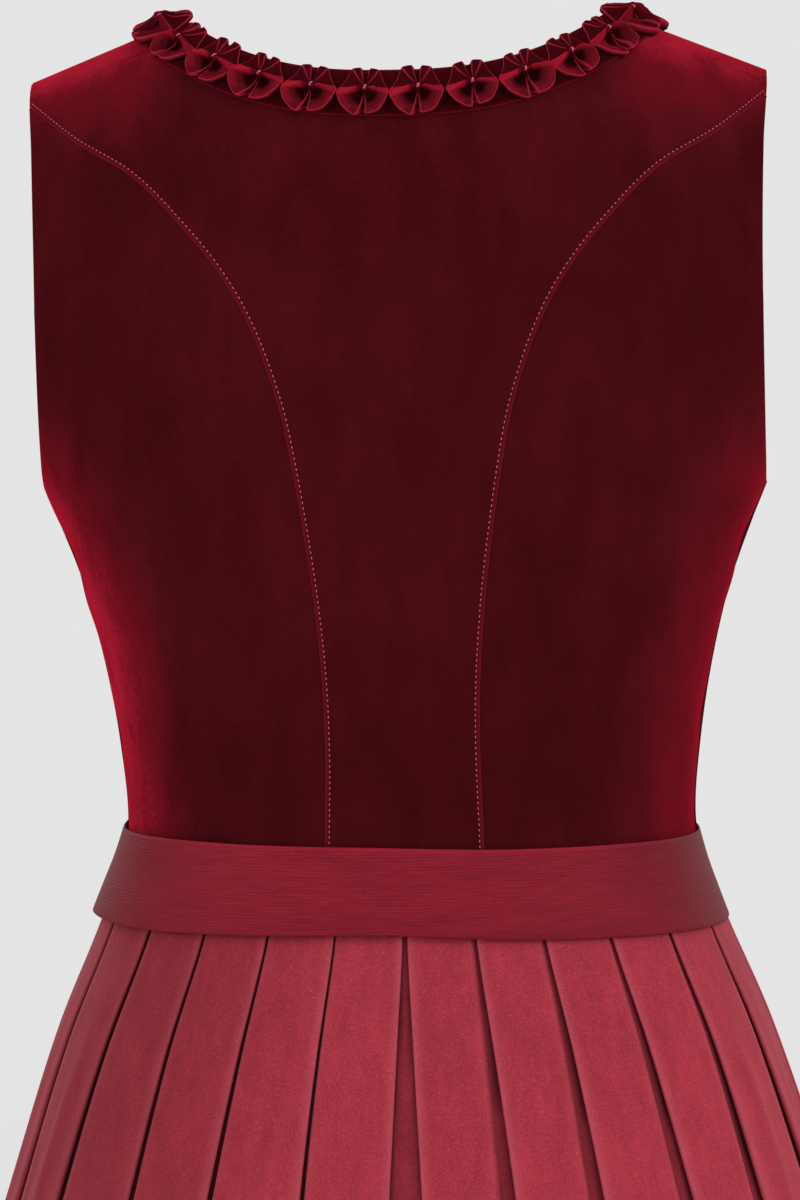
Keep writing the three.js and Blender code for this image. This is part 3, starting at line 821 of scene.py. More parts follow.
# Soft creases of the bodice: where each lies seen from behind or in front, its slant, length and width in
# millimetres, and how far it stands in or out
CREASES = {
    "back": (
        {"x": -158, "z": -238, "slant": 35, "long": 46, "wide": 11, "rise": -1.6},
        {"x": -150, "z": -262, "slant": 28, "long": 52, "wide": 13, "rise": 1.2},
        {"x": 156, "z": -243, "slant": -32, "long": 44, "wide": 12, "rise": -1.5},
        {"x": 147, "z": -268, "slant": -26, "long": 50, "wide": 12, "rise": 1.1},
        {"x": -128, "z": -330, "slant": 12, "long": 44, "wide": 12, "rise": -1.0},
        {"x": 126, "z": -338, "slant": -10, "long": 48, "wide": 12, "rise": -0.9},
        {"x": -60, "z": -368, "slant": 6, "long": 56, "wide": 13, "rise": -0.8},
        {"x": 66, "z": -360, "slant": -8, "long": 50, "wide": 12, "rise": -0.8},
        {"x": 4, "z": -374, "slant": 3, "long": 60, "wide": 12, "rise": -0.6},
        {"x": -150, "z": -92, "slant": 62, "long": 36, "wide": 10, "rise": -0.9},
        {"x": 152, "z": -98, "slant": -58, "long": 38, "wide": 10, "rise": -0.9},
    ),
    "front": (
        {"x": -150, "z": -232, "slant": 30, "long": 44, "wide": 11, "rise": -1.4},
        {"x": 151, "z": -236, "slant": -33, "long": 46, "wide": 12, "rise": -1.4},
        {"x": -70, "z": -352, "slant": 10, "long": 52, "wide": 12, "rise": -1.0},
        {"x": 74, "z": -346, "slant": -12, "long": 50, "wide": 12, "rise": -0.9},
        {"x": -118, "z": -318, "slant": 16, "long": 46, "wide": 12, "rise": -1.0},
        {"x": 116, "z": -324, "slant": -14, "long": 46, "wide": 12, "rise": -1.0},
        {"x": -20, "z": -378, "slant": 4, "long": 48, "wide": 11, "rise": -0.6},
    ),
}


def crease_rise(side, grid):
    """Rise of the creases at points of the bodice."""
    rise = np.zeros(grid.shape[:-1])
    for crease in CREASES[side]:
        angle = math.radians(crease["slant"])
        dx, dz = grid[..., 0] - crease["x"], grid[..., 2] - crease["z"]
        along = dx * math.cos(angle) + dz * math.sin(angle)
        across = dz * math.cos(angle) - dx * math.sin(angle)
        bend = across + CREASE_BEND * along**2
        rise += crease["rise"] * bump(along, crease["long"]) * bump(bend, crease["wide"])
    return rise


def panel_mesh(side, places, mirror, lower, whole):
    """Outer points, normals and quads of a panel: one hand, its mirror image, or both joined at the centre
    line below the neckline."""
    rows, columns = places.shape[:2]
    outer = bodice_point(side, places[..., 0], places[..., 1]).reshape(-1, 3)
    normals = unit(outwards(outer))
    faces = grid_faces(rows, columns, flip=side == "back")
    if mirror or whole:
        flip = np.array([-1, 1, 1])
        other, other_normals, other_faces = outer * flip, normals * flip, faces[:, ::-1]
    if mirror:
        return other, other_normals, other_faces
    if not whole:
        return outer, normals, faces
    ids = len(outer) + np.arange(len(outer))
    shared = np.arange(lower + 1) * columns
    ids[shared] = shared
    points, normals = np.concatenate([outer, other]), np.concatenate([normals, other_normals])
    faces = np.concatenate([faces, ids[other_faces]])
    kept = np.unique(faces)
    renumber = np.zeros(len(points), int)
    renumber[kept] = np.arange(len(kept))
    return points[kept], normals[kept], renumber[faces]


def make_panel(name, side, shape, mirror, settings, material, whole=False):
    """One bodice panel as a shell of velvet that stands for its solid."""
    places, lower = shape
    outer, normals, faces = panel_mesh(side, places, mirror, lower, whole)
    outer = outer + normals * (crease_rise(side, outer) * away_from_edges(outer, side))[:, None]
    points, faces = shell(outer, normals, faces, settings.wall / MM)
    # The panel carries its painted sheen as a mark on its points
    panel = make_object(name, points, faces, material, {"edge": np.zeros(len(points)), "glow": glow(points)})
    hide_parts(name)
    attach(panel, "root")
    width, length, area = flat_piece(side, places)
    if whole:
        width, area = 2 * width, 2 * area


def glow(points):
    """Amount of painted sheen: down the sides, more on the wearer's left, on the shoulders and faintly high
    in the middle.
    """
    normals = unit(outwards(points * np.array(DRAWN_IN)))
    turned = smoothstep(np.abs(normals[:, 0]), 0.44, 0.88) * smoothstep(-points[:, 2], 165, 225)
    turned = turned * np.where(points[:, 0] > 0, 1.2, 0.55)
    top = 0.55 * smoothstep(normals[:, 2], 0.3, 0.72) + 0.85 * smoothstep(normals[:, 2], 0.62, 0.92)
    top = top * smoothstep(np.abs(points[:, 0]), 95, 125)
    yoke = 0.14 * bump(points[:, 2] + 44, 34) * bump(points[:, 0], 90)
    return np.maximum(np.maximum(turned, top), yoke)


def away_from_edges(points, side):
    """0 on the waist seam and the princess seams, where pieces meet, and 1 from a margin's width off."""
    from_waist = points[:, 2] - WAIST_SEAM_Z
    from_seam = np.abs(np.abs(points[:, 0]) - smooth_value(PRINCESS[side], "x", points[:, 2]))
    above = points[:, 2] > PRINCESS[side]["z"][-1]
    nearest = np.minimum(from_waist, np.where(above, SEAM_MARGIN, from_seam))
    return smoothstep(nearest, 0, SEAM_MARGIN)


def flat_piece(side, places):
    """Width and length of the cloth that a panel is cut from, and the panel's own area, in metres."""
    steps = 60
    share = np.linspace(0, 1, steps + 1)[:, None]
    turn, level = places[..., 0].ravel(), places[..., 1].ravel()
    start = -np.full_like(level, (CHEST_Z - WAIST_SEAM_Z) / DOME_SPAN)
    across = bodice_point(side, share * turn, np.broadcast_to(level, (steps + 1, len(level))))
    up = bodice_point(side, np.broadcast_to(turn, (steps + 1, len(turn))), start + share * (level - start))
    width = np.linalg.norm(np.diff(across, axis=0), axis=-1).sum(axis=0)
    length = np.linalg.norm(np.diff(up, axis=0), axis=-1).sum(axis=0)
    grid = bodice_point(side, places[..., 0], places[..., 1])
    cells = np.cross(grid[1:, 1:] - grid[:-1, :-1], grid[1:, :-1] - grid[:-1, 1:])
    area = np.linalg.norm(cells, axis=-1).sum() / 2 * MM * MM
    return float(np.ptp(width)) * MM, float(np.ptp(length)) * MM, float(area)


def seam_line(side, mirror, shift, count):
    """Points along a princess seam, moved sideways on the surface, with normals and directions."""
    seam_x, seam_z = princess_line(side, 160)
    places = pattern_place(seam_x, seam_z)
    line = even_curve(bodice_point(side, places[:, 0], places[:, 1]), count)
    along = unit(np.gradient(line, axis=0))
    normal = unit(outwards(line))
    towards_side = unit(np.cross(normal, along)) * (1 if side == "back" else -1)
    line, normal = settle(line - towards_side * shift)
    if mirror:
        flip = np.array([-1, 1, 1])
        line, normal, along = line * flip, normal * flip, along * flip
    return line, normal, along


def sweep(line, normal, along, profile):
    """Closed tube along a line: the profile gives distances sideways and outwards."""
    across = unit(np.cross(along, normal))
    rings = line[:, None] + across[:, None] * profile[None, :, :1] + normal[:, None] * profile[None, :, 1:]
    rows, columns = rings.shape[:2]
    faces = [list(f) for f in grid_faces(rows, columns, wrap=True)]
    faces.append(list(range(columns))[::-1])
    faces.append([(rows - 1) * columns + k for k in range(columns)])
    return rings.reshape(-1, 3), faces


def joined(parts):
    """Points and faces of several meshes as one."""
    points, faces, first = [], [], 0
    for some, quads in parts:
        points.append(some)
        faces.extend([[k + first for k in face] for face in quads])
        first += len(some)
    return np.concatenate(points), faces


def half_round(width, height, count=9):
    angle = np.linspace(0, math.pi, count)
    top = np.stack([np.cos(angle) * width / 2, np.sin(angle) * height], 1)
    return np.concatenate([top, [[-width / 2, -0.4], [width / 2, -0.4]]])


def pill(length, radius, count=6):
    """A little thread: a tube along X with rounded ends, about its centre."""
    stations = [(-0.5, 0.35), (-0.4, 0.85), (-0.15, 1), (0.15, 1), (0.4, 0.85), (0.5, 0.35)]
    angle = np.arange(count) * 2 * math.pi / count
    rings = [
        np.stack([np.full(count, at * length), np.cos(angle) * radius * r, np.sin(angle) * radius * r], 1)
        for at, r in stations
    ]
    faces = [list(f) for f in grid_faces(len(stations), count, wrap=True)]
    faces.append(list(range(count))[::-1])
    faces.append([(len(stations) - 1) * count + k for k in range(count)])
    return np.concatenate(rings), faces


def row_of_stitches(line, normal, along):
    points, faces = pill(STITCH_LENGTH, STITCH_RADIUS)
    across = unit(np.cross(normal, along))
    parts = []
    for p, n, t, c in zip(line, normal, along, across):
        placed = p + points[:, :1] * t + points[:, 1:2] * c + points[:, 2:] * n + n * STITCH_LIFT
        parts.append((placed, faces))
    return joined(parts)


# Seams: how far the welt and the stitches lie from the seam, the welt's height, and a stitch's sizes
WELT_SHIFT = 1.25
WELT_HEIGHT = 0.55
STITCH_SHIFT = 2.3
STITCH_LENGTH = 1.15
STITCH_RADIUS = 0.26
STITCH_LIFT = 0.24

# Cloths made by one step and used again by a later one
CLOTHS = {}

SEAMS = [("back", False), ("back", True), ("front", False), ("front", True)]


class DIRNDL_OT_bodice(bpy.types.Operator):
    """Builds the seven velvet panels of the bodice"""

    bl_idname = "dirndl.bodice"
    bl_label = "Bodice panels"

    def execute(self, context):
        settings = context.scene.dirndl_bodice
        material = CLOTHS["bodice_velvet"] = bodice_velvet(settings)
        for side in ("back", "front"):
            flank = side_panel(side)
            for hand, mirror in (("left", False), ("right", True)):
                make_panel(f"side_{side}_{hand}", side, flank, mirror, settings, material)
        make_panel("centre_back", "back", middle_panel("back"), False, settings, material, whole=True)
        middle = middle_panel("front")
        for hand, mirror in (("left", False), ("right", True)):
            make_panel(f"centre_front_{hand}", "front", middle, mirror, settings, material)
        return {"FINISHED"}


class DIRNDL_OT_seams(bpy.types.Operator):
    """Adds the pressed welts and the topstitching along the princess seams"""

    bl_idname = "dirndl.seams"
    bl_label = "Princess seams"

    def execute(self, context):
        settings = context.scene.dirndl_bodice
        velvet = CLOTHS["bodice_velvet"]
        profile = half_round(settings.welt_width / MM, WELT_HEIGHT)
        welts, stitches, shines = [], [], []
        for side, mirror in SEAMS:
            line, normal, along = seam_line(side, mirror, WELT_SHIFT, 220)
            welts.append(sweep(line, normal, along, profile))
            # Painted highlight: the welt's outer side is marked 1.5 and painted lighter than the rest of its
            # pressed velvet
            outer = -1 if (side == "back") != mirror else 1
            shines.append(np.where(profile[:, 0] * outer > 0.3 * settings.welt_width / MM, 1.5, 0.9))
            length = distances(line)[-1]
            count = int(length / (settings.stitch_pitch / MM))
            line, normal, along = seam_line(side, mirror, STITCH_SHIFT, count)
            stitches.append(row_of_stitches(line, normal, along))
        points, faces = joined(welts)
        edge = np.concatenate([np.resize(shine, len(welt[0])) for shine, welt in zip(shines, welts)])
        welt = make_object("seam_welts", points, faces, velvet, {"edge": edge})
        points, faces = joined(stitches)
        CLOTHS["stitch_thread"] = stitch_thread(settings.thread)
        thread = make_object("seam_topstitching", points, faces, CLOTHS["stitch_thread"])
        for piece in (welt, thread):
            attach(piece, "root")
        return {"FINISHED"}


# Neck trim

STRIP_RISE = 1.0
STRIP_COLUMNS = 420
TRIM_SEED = 11
ROSETTE_TURNS = 108
ROSETTE_RINGS = 16

# Pitch and ribbon width that the rosette's table is drawn for, and the knot's place and heights
TABLE_PITCH = 25.4
TABLE_WIDTH = 25.0
KNOT_SHARE = 0.44
KNOT_RISE = 4.4
THREAD_RISE = 5.1
THREAD_LENGTH = 2.6
THREAD_RADIUS = 0.28
THREAD_TURNS = (62, -48)

# Least rise of a rosette's cloth, rise of its underside, and how folded, shaded and lit its knot is
LEAST_RISE = 1.4
FOOT_RISE = 0.4
KNOT_MARK = 0.4

# How much further the rosettes on top of a shoulder reach below and above their knots, how much higher they
# stand at the knot and fall to the rim, and their greatest height
SHOULDER_DOWN = 0.25
SHOULDER_UP = 0.3
SHOULDER_LIFT = 1.1
SHOULDER_FALL = 1.55
SHOULDER_TOP = 9.0

# Reach of a shoulder's rosettes along the trim, the painted light they lose, and their least painted shade
SHOULDER_REACH = 38.0
SHOULDER_DULL = 0.6
SHOULDER_SHADE = 0.5


def neck_path():
    """Neckline all round from the centre back over the left shoulder, with the way down from it."""
    share = np.linspace(0, 1, 160)
    halves = []
    for side in ("back", "front"):
        x = NECK_HALF_WIDTH * np.sin(share * math.pi / 2)
        place = pattern_place(x, neckline_z(side, x))
        place[-1, 1] = 1.0
        curve = bodice_point(side, place[:, 0], place[:, 1])
        curve[:, 0] = x
        halves.append(curve if side == "back" else curve[::-1][1:])
    left = np.concatenate(halves)
    whole = np.concatenate([left, (left * np.array([-1, 1, 1]))[-2::-1]])
    return even_curve(whole, 1201)


class NeckStrip:
    """Places points on the neck trim by distance along it, down from its upper edge and outwards."""

    def __init__(self):
        self.path = neck_path()
        self.at = distances(self.path)
        self.long = self.at[-1]
        along = unit(np.roll(self.path[:-1], -1, axis=0) - np.roll(self.path[:-1], 1, axis=0))
        along = np.concatenate([along, along[:1]])
        normal = unit(outwards(self.path))
        self.down = unit(np.cross(normal, along))

    def on_shoulder(self, along):
        """1 on top of a shoulder, where the rosettes open fully, and 0 away from it."""
        ridge = self.at[np.argmax(self.path[:, 0])]
        away = min(abs(along - ridge), abs(along - (self.long - ridge)))
        return float(bump(away, SHOULDER_REACH))

    def place(self, along, down, rise):
        where = np.mod(along, self.long)
        base = np.stack([np.interp(where, self.at, self.path[:, k]) for k in range(3)], 1)
        lean = np.stack([np.interp(where, self.at, self.down[:, k]) for k in range(3)], 1)
        base, normal = settle(base + unit(lean) * down[:, None])
        return base + normal * rise[:, None]


def strip_mesh(strip, width):
    """The flat ribbon that the rosettes are pinched up from, as a closed band."""
    count = STRIP_COLUMNS
    profile = np.array(
        [(0.0, 0.3), (0.15, 0.9), (0.8, 1.2), (2.6, 0.9), (0.3 * width, 1.0), (0.5 * width, 0.8),
         (0.72 * width, 1.0), (width - 2.2, 0.9), (width - 0.8, 1.2), (width - 0.15, 0.9), (width, 0.3)]
    )
    profile[:, 1] += STRIP_RISE - 0.9
    along = np.repeat(np.arange(count) * strip.long / count, len(profile))
    down = np.tile(profile[:, 0], count)
    rise = np.tile(profile[:, 1], count)
    points = strip.place(along, down, rise)
    rows = len(profile)
    quads = []
    for i in range(count):
        here, there = i * rows, (i + 1) % count * rows
        for j in range(rows):
            k = (j + 1) % rows
            quads.append([here + j, there + j, there + k, here + k])
    # Fold edges painted lighter, worn pile with a painted highlight; painted shade over the strip, deepest in
    # its middle under the rosettes
    fold = np.tile(np.array([0.1, 0.3, 0, 0, 0, 0, 0, 0, 0, 0.12, 0.05]), count)
    hollow = np.tile(np.array([0.3, 0.2, 0.5, 0.7, 0.8, 0.8, 0.8, 0.7, 0.55, 0.4, 0.4]), count)
    return points, quads, {"fold": fold, "hollow": hollow, "brow": np.zeros(len(points))}


def patch_mark(patches, turn, share):
    """Amount of the strongest soft-edged patch at each turn and share of the way out."""
    mark = np.zeros((len(turn), len(share)))
    for first, last, near, far, amount in patches:
        away = (turn - (first + last) / 2 + 180) % 360 - 180
        inside = 1 - smoothstep(np.abs(away), (last - first) / 2 - 5, (last - first) / 2 + 3)
        along = smoothstep(share, near - 0.06, near + 0.06) * (1 - smoothstep(share, far - 0.14, far + 0.06))
        mark = np.maximum(mark, amount * inside[:, None] * along[None])
    return mark


def rosette_shape(rng):
    """One rosette about its knot: distance along and down, rise, and its marks."""
    table = np.array(ROSETTE, float)
    turn = np.arange(ROSETTE_TURNS) * 360 / ROSETTE_TURNS
    skewed = turn + 4 * rng.uniform(-1, 1) * np.sin(np.radians(turn)) + rng.uniform(-2, 2)
    columns = [np.interp(skewed, table[:, 0], table[:, k], period=360) for k in range(1, 7)]
    uneven = 1 + 0.05 * np.sin(np.radians(turn + rng.uniform(0, 360))) + rng.uniform(-0.03, 0.03)
    reach = columns[0] * uneven
    heights = np.stack(columns[1:], 1) * (1 + rng.uniform(-0.1, 0.1, 5))
    share = np.concatenate([np.linspace(0, 0.93, ROSETTE_RINGS - 1)[1:], [0.97, 1.0]])
    rise = np.stack([np.interp(share, (0.1, 0.32, 0.55, 0.8, 1.0), h) for h in heights])
    rise = np.maximum(rise, LEAST_RISE)
    out = reach[:, None] * share[None]
    fold = np.zeros_like(rise)
    for direction in ROSETTE_FOLDS:
        away = (skewed - direction + 180) % 360 - 180
        fold[np.argmin(np.abs(away))] = 0.75
    fold *= smoothstep(share, 0.05, 0.3)
    fold[:, -1] = 0.9
    rims = [(reach + 0.1, 0.12, 0.5), (reach - 0.1, 0.6, 0.0), (reach - 1.2, 1.0, 0.0)]
    low = [rise[:, -1] + (FOOT_RISE - rise[:, -1]) * drop for _, drop, _ in rims]
    share = np.concatenate([share, [1.0, 1.3, 1.3]])
    # Painted shade in the facets and mouths, full under the rim; painted highlight on the brows; worn fold
    # edges and rims painted lighter
    marks = {"fold": fold, "hollow": patch_mark(ROSETTE_SHADE, skewed, share)}
    marks["hollow"][:, -2:] = 1.0
    marks["brow"] = patch_mark(ROSETTE_LIGHT, skewed, share)
    full = np.ones(ROSETTE_TURNS)
    out = np.concatenate([out, np.stack([r[0] for r in rims], 1)], 1)
    rise = np.concatenate([rise, np.stack(low, 1)], 1)
    marks["fold"] = np.concatenate([fold, np.stack([full * r[2] for r in rims], 1)], 1)
    angle = np.radians(turn)[:, None]
    along, down = -out * np.sin(angle), -out * np.cos(angle)
    return along, down, rise, marks


def rosette_faces(rings):
    """Quads round the rosette, a fan at its knot, which is its first point, and one under it to its last."""
    quads = []
    last = 1 + ROSETTE_TURNS * rings
    for i in range(ROSETTE_TURNS):
        here, there = 1 + i * rings, 1 + (i + 1) % ROSETTE_TURNS * rings
        quads.append([0, there, here])
        quads.append([last, here + rings - 1, there + rings - 1])
        quads.extend([here + j, there + j, there + j + 1, here + j + 1] for j in range(rings - 1))
    return quads


class DIRNDL_OT_trim(bpy.types.Operator):
    """Builds the ruched velvet ribbon round the neckline"""

    bl_idname = "dirndl.trim"
    bl_label = "Neck trim"

    def execute(self, context):
        settings = context.scene.dirndl_trim
        strip = NeckStrip()
        width = settings.width / MM
        points, faces, marks = strip_mesh(strip, width)
        parts, all_marks = [(points, faces)], [marks]
        knots = []
        pitch = strip.long / settings.units
        rng = np.random.default_rng(TRIM_SEED)
        for k in range(settings.units):
            along, down, rise, marks = rosette_shape(rng)
            rings = along.shape[1]
            middle = (k + 0.5) * pitch
            knot_down = KNOT_SHARE * width + rng.uniform(-0.5, 0.5)
            on_shoulder = strip.on_shoulder(middle)
            # Rosettes on a shoulder get less painted light and at least some painted shade
            marks["brow"] = marks["brow"] * (1 - SHOULDER_DULL * on_shoulder)
            marks["hollow"] = np.maximum(marks["hollow"], SHOULDER_SHADE * on_shoulder)
            along = np.concatenate([[0], along.ravel(), [0]]) * pitch / TABLE_PITCH + middle
            down = np.concatenate([[0], down.ravel(), [0]]) * width / TABLE_WIDTH
            spread = np.where(down > 0, SHOULDER_DOWN, SHOULDER_UP)
            down = down * (1 + spread * on_shoulder) + knot_down
            dome = 1 + on_shoulder * (SHOULDER_LIFT - SHOULDER_FALL * np.linspace(0, 1, rings) ** 2)
            rise = np.minimum(rise * dome, SHOULDER_TOP)
            rise = np.concatenate([[KNOT_RISE * (1 + on_shoulder)], rise.ravel(), [FOOT_RISE]])
            parts.append((strip.place(along, down, rise), rosette_faces(rings)))
            ends = [KNOT_MARK]
            all_marks.append({key: np.concatenate([ends, mark.ravel(), ends]) for key, mark in marks.items()})
            knots.append((middle, knot_down, THREAD_RISE + KNOT_RISE * on_shoulder))
        points, faces = joined(parts)
        names = ("fold", "hollow", "brow")
        marks = {name: np.concatenate([some[name] for some in all_marks]) for name in names}
        velvet = trim_velvet(settings, context.scene.dirndl_bodice.sheen)
        trim = make_object("neck_trim", points, faces, velvet, marks)
        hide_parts("neck_trim")
        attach(trim, "root")
        self.stitch_knots(strip, knots)
        return {"FINISHED"}

    def stitch_knots(self, strip, knots):
        """Two crossed threads over each knot."""
        points, faces = pill(THREAD_LENGTH, THREAD_RADIUS)
        parts = []
        for middle, down, lift in knots:
            for angle in np.radians(THREAD_TURNS):
                x, y = points[:, 0] * math.cos(angle), points[:, 0] * math.sin(angle)
                rise = lift + points[:, 2] - 0.35 * (points[:, 0] ** 2)
                parts.append((strip.place(middle + x - points[:, 1], down + y + points[:, 1], rise), faces))
        points, faces = joined(parts)
        threads = make_object("trim_knots", points, faces, CLOTHS["stitch_thread"])
        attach(threads, "root")


# Ribbon and skirt


class Ring:
    """A closed curve round the garment at one height, met by distance from the centre back."""

    def __init__(self, table, z):
        share = np.linspace(0, math.pi, 721)
        power = 2 / SECTION_POWER
        half = float(smooth_value(table, "half", z))
        depth = np.where(
            np.cos(share) >= 0, float(smooth_value(table, "back", z)), -float(smooth_value(table, "front", z))
        )
        curve = np.stack(
            [half * np.abs(np.sin(share)) ** power, depth * np.abs(np.cos(share)) ** power], 1
        )
        self.points = even_curve(curve, 361)
        self.long = distances(self.points)[-1]
        along = unit(np.gradient(self.points, axis=0))
        along[0] = (1, 0)
        along[-1] = (-1, 0)
        self.normals = np.stack([-along[:, 1], along[:, 0]], 1)
        self.z = z

    def place(self, around, lift):
        """Points at distances round from the centre back over the left, moved outwards."""
        whole = 2 * self.long
        where = np.mod(around, whole)
        mirror = np.where(where > self.long, -1.0, 1.0)
        where = np.where(where > self.long, whole - where, where)
        at = np.linspace(0, self.long, len(self.points))
        xy = np.stack([np.interp(where, at, self.points[:, k]) for k in range(2)], 1)
        n = unit(np.stack([np.interp(where, at, self.normals[:, k]) for k in range(2)], 1))
        flat = xy + n * np.asarray(lift)[:, None]
        return np.stack([flat[:, 0] * mirror, flat[:, 1], np.full(len(flat), self.z)], 1)


RIBBON_ROWS = 26
RIBBON_COLUMNS = 460

# How much the ribbon sits higher on the wearer's left, for each millimetre across
RIBBON_TILT = 0.02

# Soft dents of the ribbon: where round from the centre back, how long, how deep at its upper and lower edge,
# and how far the lower edge is drawn up
RIBBON_DENTS = (
    {"around": 190, "long": 34, "upper": -0.2, "lower": 2.4, "drawn": 1.6},
    {"around": 92, "long": 34, "upper": 0.3, "lower": 0.1, "drawn": 0.4},
    {"around": 4, "long": 76, "upper": 0.2, "lower": 0.3, "drawn": 3.2},
    {"around": -86, "long": 30, "upper": 0.4, "lower": 0.2, "drawn": 0.2},
    {"around": -150, "long": 36, "upper": -0.2, "lower": 0.7, "drawn": 0.6},
    {"around": 270, "long": 40, "upper": 0.3, "lower": 0.9, "drawn": 0.4},
    {"around": -262, "long": 44, "upper": -0.2, "lower": 0.7, "drawn": -0.3},
)


def turned_away(points):
    """How far the cloth at each point has turned to the wearer's side."""
    return smoothstep(np.abs(np.arctan2(points[:, 0], np.abs(points[:, 1]))), 0.75, 1.5)


def skirt_shade(points):
    """How much the skirt darkens round its sides, more on the wearer's left."""
    turn = np.arctan2(points[:, 0], np.abs(points[:, 1]))
    return np.where(turn > 0, 0.55 * smoothstep(turn, 0.1, 1.25), 0.3 * smoothstep(-turn, 0.9, 1.5))


class DIRNDL_OT_ribbon(bpy.types.Operator):
    """Builds the ribbed ribbon round the waist, lapped at the front"""

    bl_idname = "dirndl.ribbon"
    bl_label = "Waist ribbon"

    def execute(self, context):
        settings = context.scene.dirndl_ribbon
        wall, lap = settings.wall / MM, settings.lap / MM
        low, high = RIBBON["z"][0], RIBBON["z"][-1]
        heights = np.linspace(high, low, RIBBON_ROWS)
        grid = []
        for z in heights:
            ring = Ring(RIBBON, z)
            whole = 2 * ring.long + lap
            distance = np.linspace(0, whole, RIBBON_COLUMNS)
            around = ring.long - lap / 2 - distance
            rise = smoothstep(distance, whole - 2 * lap, whole - 1.2 * lap) * (wall + 2 * SEAM_GAP)
            share = (high - z) / (high - low)
            sag = 0.25 * np.sin(around / 31.0) + 0.15 * np.sin(around / 17.0 + 1.0)
            for dent in RIBBON_DENTS:
                bell = bump(around - dent["around"], dent["long"])
                depth = dent["upper"] * (1 - share) + dent["lower"] * share
                rise = rise + max(depth, -0.2) * bell
                sag = sag + dent["drawn"] * share * bell
            row = ring.place(around, wall + rise)
            row[:, 2] += sag + RIBBON_TILT * row[:, 0]
            grid.append(row)
        grid = np.stack(grid)[::-1]
        normals = grid_normals(grid)
        if (normals[:, :, :2] * grid[:, :, :2]).sum() < 0:
            grid = grid[:, ::-1]
            normals = grid_normals(grid)
        faces = grid_faces(RIBBON_ROWS, RIBBON_COLUMNS)
        points, faces = shell(grid.reshape(-1, 3), normals.reshape(-1, 3), faces, wall)
        row = np.repeat(np.arange(RIBBON_ROWS), RIBBON_COLUMNS)
        along_edge = np.where(row == np.argmax(grid[:, 0, 2]), 0.45, 0.0)
        edge = np.concatenate([along_edge, along_edge, np.zeros(len(points) - 2 * len(along_edge))])
        # Painted shade towards the sides and along the lower edge
        shade = np.maximum(turned_away(points), 0.4 * smoothstep(-points[:, 2], -low - 14, -low + 4))
        marks = {"edge": edge, "shade": shade}
        ribbon = make_object("waist_ribbon", points, faces, ribbon_faille(settings), marks)
        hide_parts("waist_ribbon")
        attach(ribbon, "root")
        middle = Ring(RIBBON, (low + high) / 2)
        return {"FINISHED"}


# Small unevenness of each pleat's fold, from the centre back: how far it strays at the hip, and how full
# its rolled edge is
FOLD_STRAY = {
    "left": (0.0, -0.6, 0.8, -0.4, 1.0, -1.2, 0.4, 0.9, -0.8, 0.5, -0.5, 0.9, -0.3),
    "right": (0.0, 0.7, -0.5, 0.9, -0.9, 0.6, -0.7, 0.3, 1.0, -0.6, 0.4, -0.9, 0.5),
}
FOLD_FULLNESS = {
    "left": (1.0, 1.0, 1.1, 1.25, 1.7, 1.9, 1.5, 1.3, 1.2, 1.4, 1.1, 1.2, 1.1),
    "right": (1.0, 1.1, 1.15, 1.3, 1.6, 1.8, 1.6, 1.2, 1.3, 1.2, 1.3, 1.1, 1.2),
}

# How wide each pleat opens in front of the next fold, against the width in the skirt's table
FOLD_OPENING = {
    "left": (1.0, 0.9, 1.0, 1.1, 1.6, 2.0, 1.4, 1.2, 1.0, 1.2, 1.0, 1.1, 1.0),
    "right": (1.0, 1.15, 1.1, 1.0, 0.85, 1.0, 1.2, 0.9, 1.0, 1.1, 0.9, 1.0, 1.0),
}

# Soft creases down the pleats' faces: the fold they follow, where they start and end below the waist, how
# far across the face they lie, and their width and rise
FACE_CREASES = (
    {"side": "left", "fold": 4, "from": -455, "to": -800, "across": 0.30, "wide": 3.6, "rise": 1.7},
    {"side": "left", "fold": 4, "from": -520, "to": -1000, "across": 0.62, "wide": 5.0, "rise": -1.6},
    {"side": "left", "fold": 5, "from": -450, "to": -760, "across": 0.36, "wide": 4.2, "rise": 1.5},
    {"side": "left", "fold": 2, "from": -600, "to": -1050, "across": 0.5, "wide": 6.0, "rise": -1.2},
    {"side": "left", "fold": 1, "from": -520, "to": -900, "across": 0.42, "wide": 5.5, "rise": 0.7},
    {"side": "left", "fold": 8, "from": -480, "to": -900, "across": 0.4, "wide": 4.6, "rise": 1.3},
    {"side": "left", "fold": 10, "from": -520, "to": -1000, "across": 0.45, "wide": 5.2, "rise": -1.3},
    {"side": "right", "fold": 4, "from": -460, "to": -840, "across": 0.32, "wide": 4.0, "rise": 1.6},
    {"side": "right", "fold": 5, "from": -470, "to": -900, "across": 0.5, "wide": 4.6, "rise": -1.4},
    {"side": "right", "fold": 3, "from": -560, "to": -1040, "across": 0.46, "wide": 6.0, "rise": -1.1},
    {"side": "right", "fold": 1, "from": -500, "to": -860, "across": 0.5, "wide": 5.5, "rise": 0.7},
    {"side": "right", "fold": 7, "from": -480, "to": -980, "across": 0.44, "wide": 4.8, "rise": 1.4},
    {"side": "right", "fold": 9, "from": -540, "to": -1060, "across": 0.4, "wide": 5.2, "rise": -1.2},
    {"side": "right", "fold": 11, "from": -500, "to": -940, "across": 0.5, "wide": 5.0, "rise": 1.1},
)


def arc(centre, radii, start, end, count):
    """Points on part of an ellipse, in degrees."""
    angle = np.radians(np.linspace(start, end, count))
    return np.stack([centre[0] + radii[0] * np.cos(angle), centre[1] + radii[1] * np.sin(angle)], 1)


